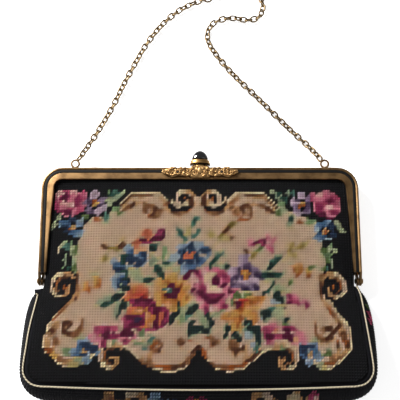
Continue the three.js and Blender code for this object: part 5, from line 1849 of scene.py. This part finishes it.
@dataclass
class Chain:
    """A cable chain of oval links from ring to ring."""

    length: float = 5.6 * MM
    width: float = 4.3 * MM
    wire: float = 1.1 * MM
    pitch: float = 3.4 * MM
    link_steps: int = 16
    wire_sides: int = 6
    tilt: float = 45.0
    sway: float = 0.25
    sway_pace: float = 0.9

    def link(self) -> tuple[np.ndarray, list[tuple[int, ...]]]:
        """One link along X, flat in X and Y.

        Returns:
            Vertices and faces.
        """
        r = self.wire / 2
        straight = (self.length - self.width) / 2
        bend = self.width / 2 - r
        vertices, faces = [], []
        for k in range(self.link_steps):
            turn = 2 * math.pi * (k + 0.5) / self.link_steps
            shift = math.copysign(straight, math.cos(turn))
            middle = np.array([shift + bend * math.cos(turn), bend * math.sin(turn), 0.0])
            away = np.array([math.cos(turn), math.sin(turn), 0.0])
            for s in range(self.wire_sides):
                swing = 2 * math.pi * s / self.wire_sides
                up = np.array([0.0, 0.0, 1.0])
                vertices.append(middle + r * (math.cos(swing) * away + math.sin(swing) * up))
        for k in range(self.link_steps):
            here, there = k * self.wire_sides, (k + 1) % self.link_steps * self.wire_sides
            for s in range(self.wire_sides):
                t = (s + 1) % self.wire_sides
                faces.append((here + s, there + s, there + t, here + t))
        return np.array(vertices), faces

    def build(self) -> None:
        """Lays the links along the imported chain."""
        low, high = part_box("chain")
        rings = tube_rings("chain", (low.x, low.y, high.z))
        fine = resampled(rings, 0.2 * MM)
        along = np.concatenate([[0.0], np.cumsum(np.linalg.norm(np.diff(fine, axis=0), axis=1))])
        count = round(along[-1] / self.pitch)
        pitch = along[-1] / count

        def spot(distance: float) -> np.ndarray:
            """The point at a distance along the chain."""
            return np.array([np.interp(distance, along, fine[:, c]) for c in range(3)])

        shape, faces = self.link()
        vertices, every = [], []
        for k in range(count):
            middle = (k + 0.5) * pitch
            ahead = spot(middle + pitch / 2) - spot(middle - pitch / 2)
            ahead /= np.linalg.norm(ahead)
            side = np.cross([0.0, 0.0, 1.0], ahead)
            side /= np.linalg.norm(side)
            up = np.cross(ahead, side)
            tilt = math.radians(self.tilt if k % 2 else -self.tilt) + self.sway * math.sin(k * self.sway_pace)
            across = math.cos(tilt) * side + math.sin(tilt) * up
            over = math.cos(tilt) * up - math.sin(tilt) * side
            vertices.append(spot(middle) + shape @ np.stack([ahead, across, over]))
            every += [tuple(v + k * len(shape) for v in face) for face in faces]
        piece = mesh_piece("chain_links", np.vstack(vertices), every)
        pick(piece)
        bpy.ops.object.shade_smooth()
        bronze = MetalFinish("chain_bronze", "8a7554", "5d4b33", "2a2118", 0.36, 0.7, 1.6)
        finish_piece(piece, "bag", "chain_bronze", bronze.make(), "chain")


@dataclass
class Studio:
    """The paper sweep, the soft light from the upper left, and the camera above the bag."""

    elevation: float = 75.0
    distance: float = 0.57125
    aim: tuple[float, float, float] = (0.0, 0.0515, 0.008)
    lens: float = 85.56
    sensor: float = 36.0
    clip: tuple[float, float] = (0.01, 20.0)
    world: float = 0.26
    floor_size: float = 6.0
    floor_drop: float = 0.2 * MM
    lamps: tuple[tuple, ...] = (
        ("window", (-0.66, 0.66, 0.56), 0.3, 26.0),
        ("fill", (0.7, -0.3, 0.9), 0.9, 1.6),
    )

    def build(self) -> None:
        """Sets the floor, lights, world and camera."""
        pick_none()
        bpy.ops.mesh.primitive_plane_add(size=self.floor_size, location=(0, 0, -self.floor_drop))
        floor = bpy.context.object
        floor.name = "paper_floor"
        floor.data.materials.append(PaperFinish().make())
        world = bpy.data.worlds.new("studio")
        bpy.context.scene.world = world
        world.use_nodes = True
        backdrop = world.node_tree.nodes["Background"]
        backdrop.inputs["Color"].default_value = (1.0, 1.0, 1.0, 1.0)
        backdrop.inputs["Strength"].default_value = self.world
        bpy.context.scene.view_settings.view_transform = "Standard"
        for lamp in self.lamps:
            self.hang(*lamp)
        tilt = math.radians(self.elevation)
        back = Vector((0.0, -math.cos(tilt), math.sin(tilt)))
        camera = bpy.data.objects.new("camera", bpy.data.cameras.new("camera"))
        bpy.context.scene.collection.objects.link(camera)
        camera.location = Vector(self.aim) + back * self.distance
        camera.rotation_euler = (-back).to_track_quat("-Z", "Y").to_euler()
        camera.data.lens = self.lens
        camera.data.sensor_width = self.sensor
        camera.data.clip_start, camera.data.clip_end = self.clip
        bpy.context.scene.camera = camera

    def hang(self, name: str, place: tuple[float, float, float], size: float, power: float) -> None:
        """Hangs a square soft light that faces the bag.

        Args:
            name: The light's name.
            place: Where it hangs.
            size: Its side.
            power: Its power in watts.
        """
        light = bpy.data.lights.new(name, "AREA")
        light.size, light.energy = size, power
        lamp = bpy.data.objects.new(name, light)
        bpy.context.scene.collection.objects.link(lamp)
        lamp.location = place
        lamp.rotation_euler = (Vector(self.aim) - Vector(place)).to_track_quat("-Z", "Y").to_euler()


def main() -> None:
    """Builds every sub-assembly."""
    logging.basicConfig(level=logging.INFO, format="%(message)s")
    Studio().build()
    cloth = Cloth()
    cloth.build_front()
    cloth.build_back()
    cloth.build_gusset()
    Piping().build()
    Mount().build()
    Clasp().build()
    Chain().build()


if __name__ == "__main__":
    main()
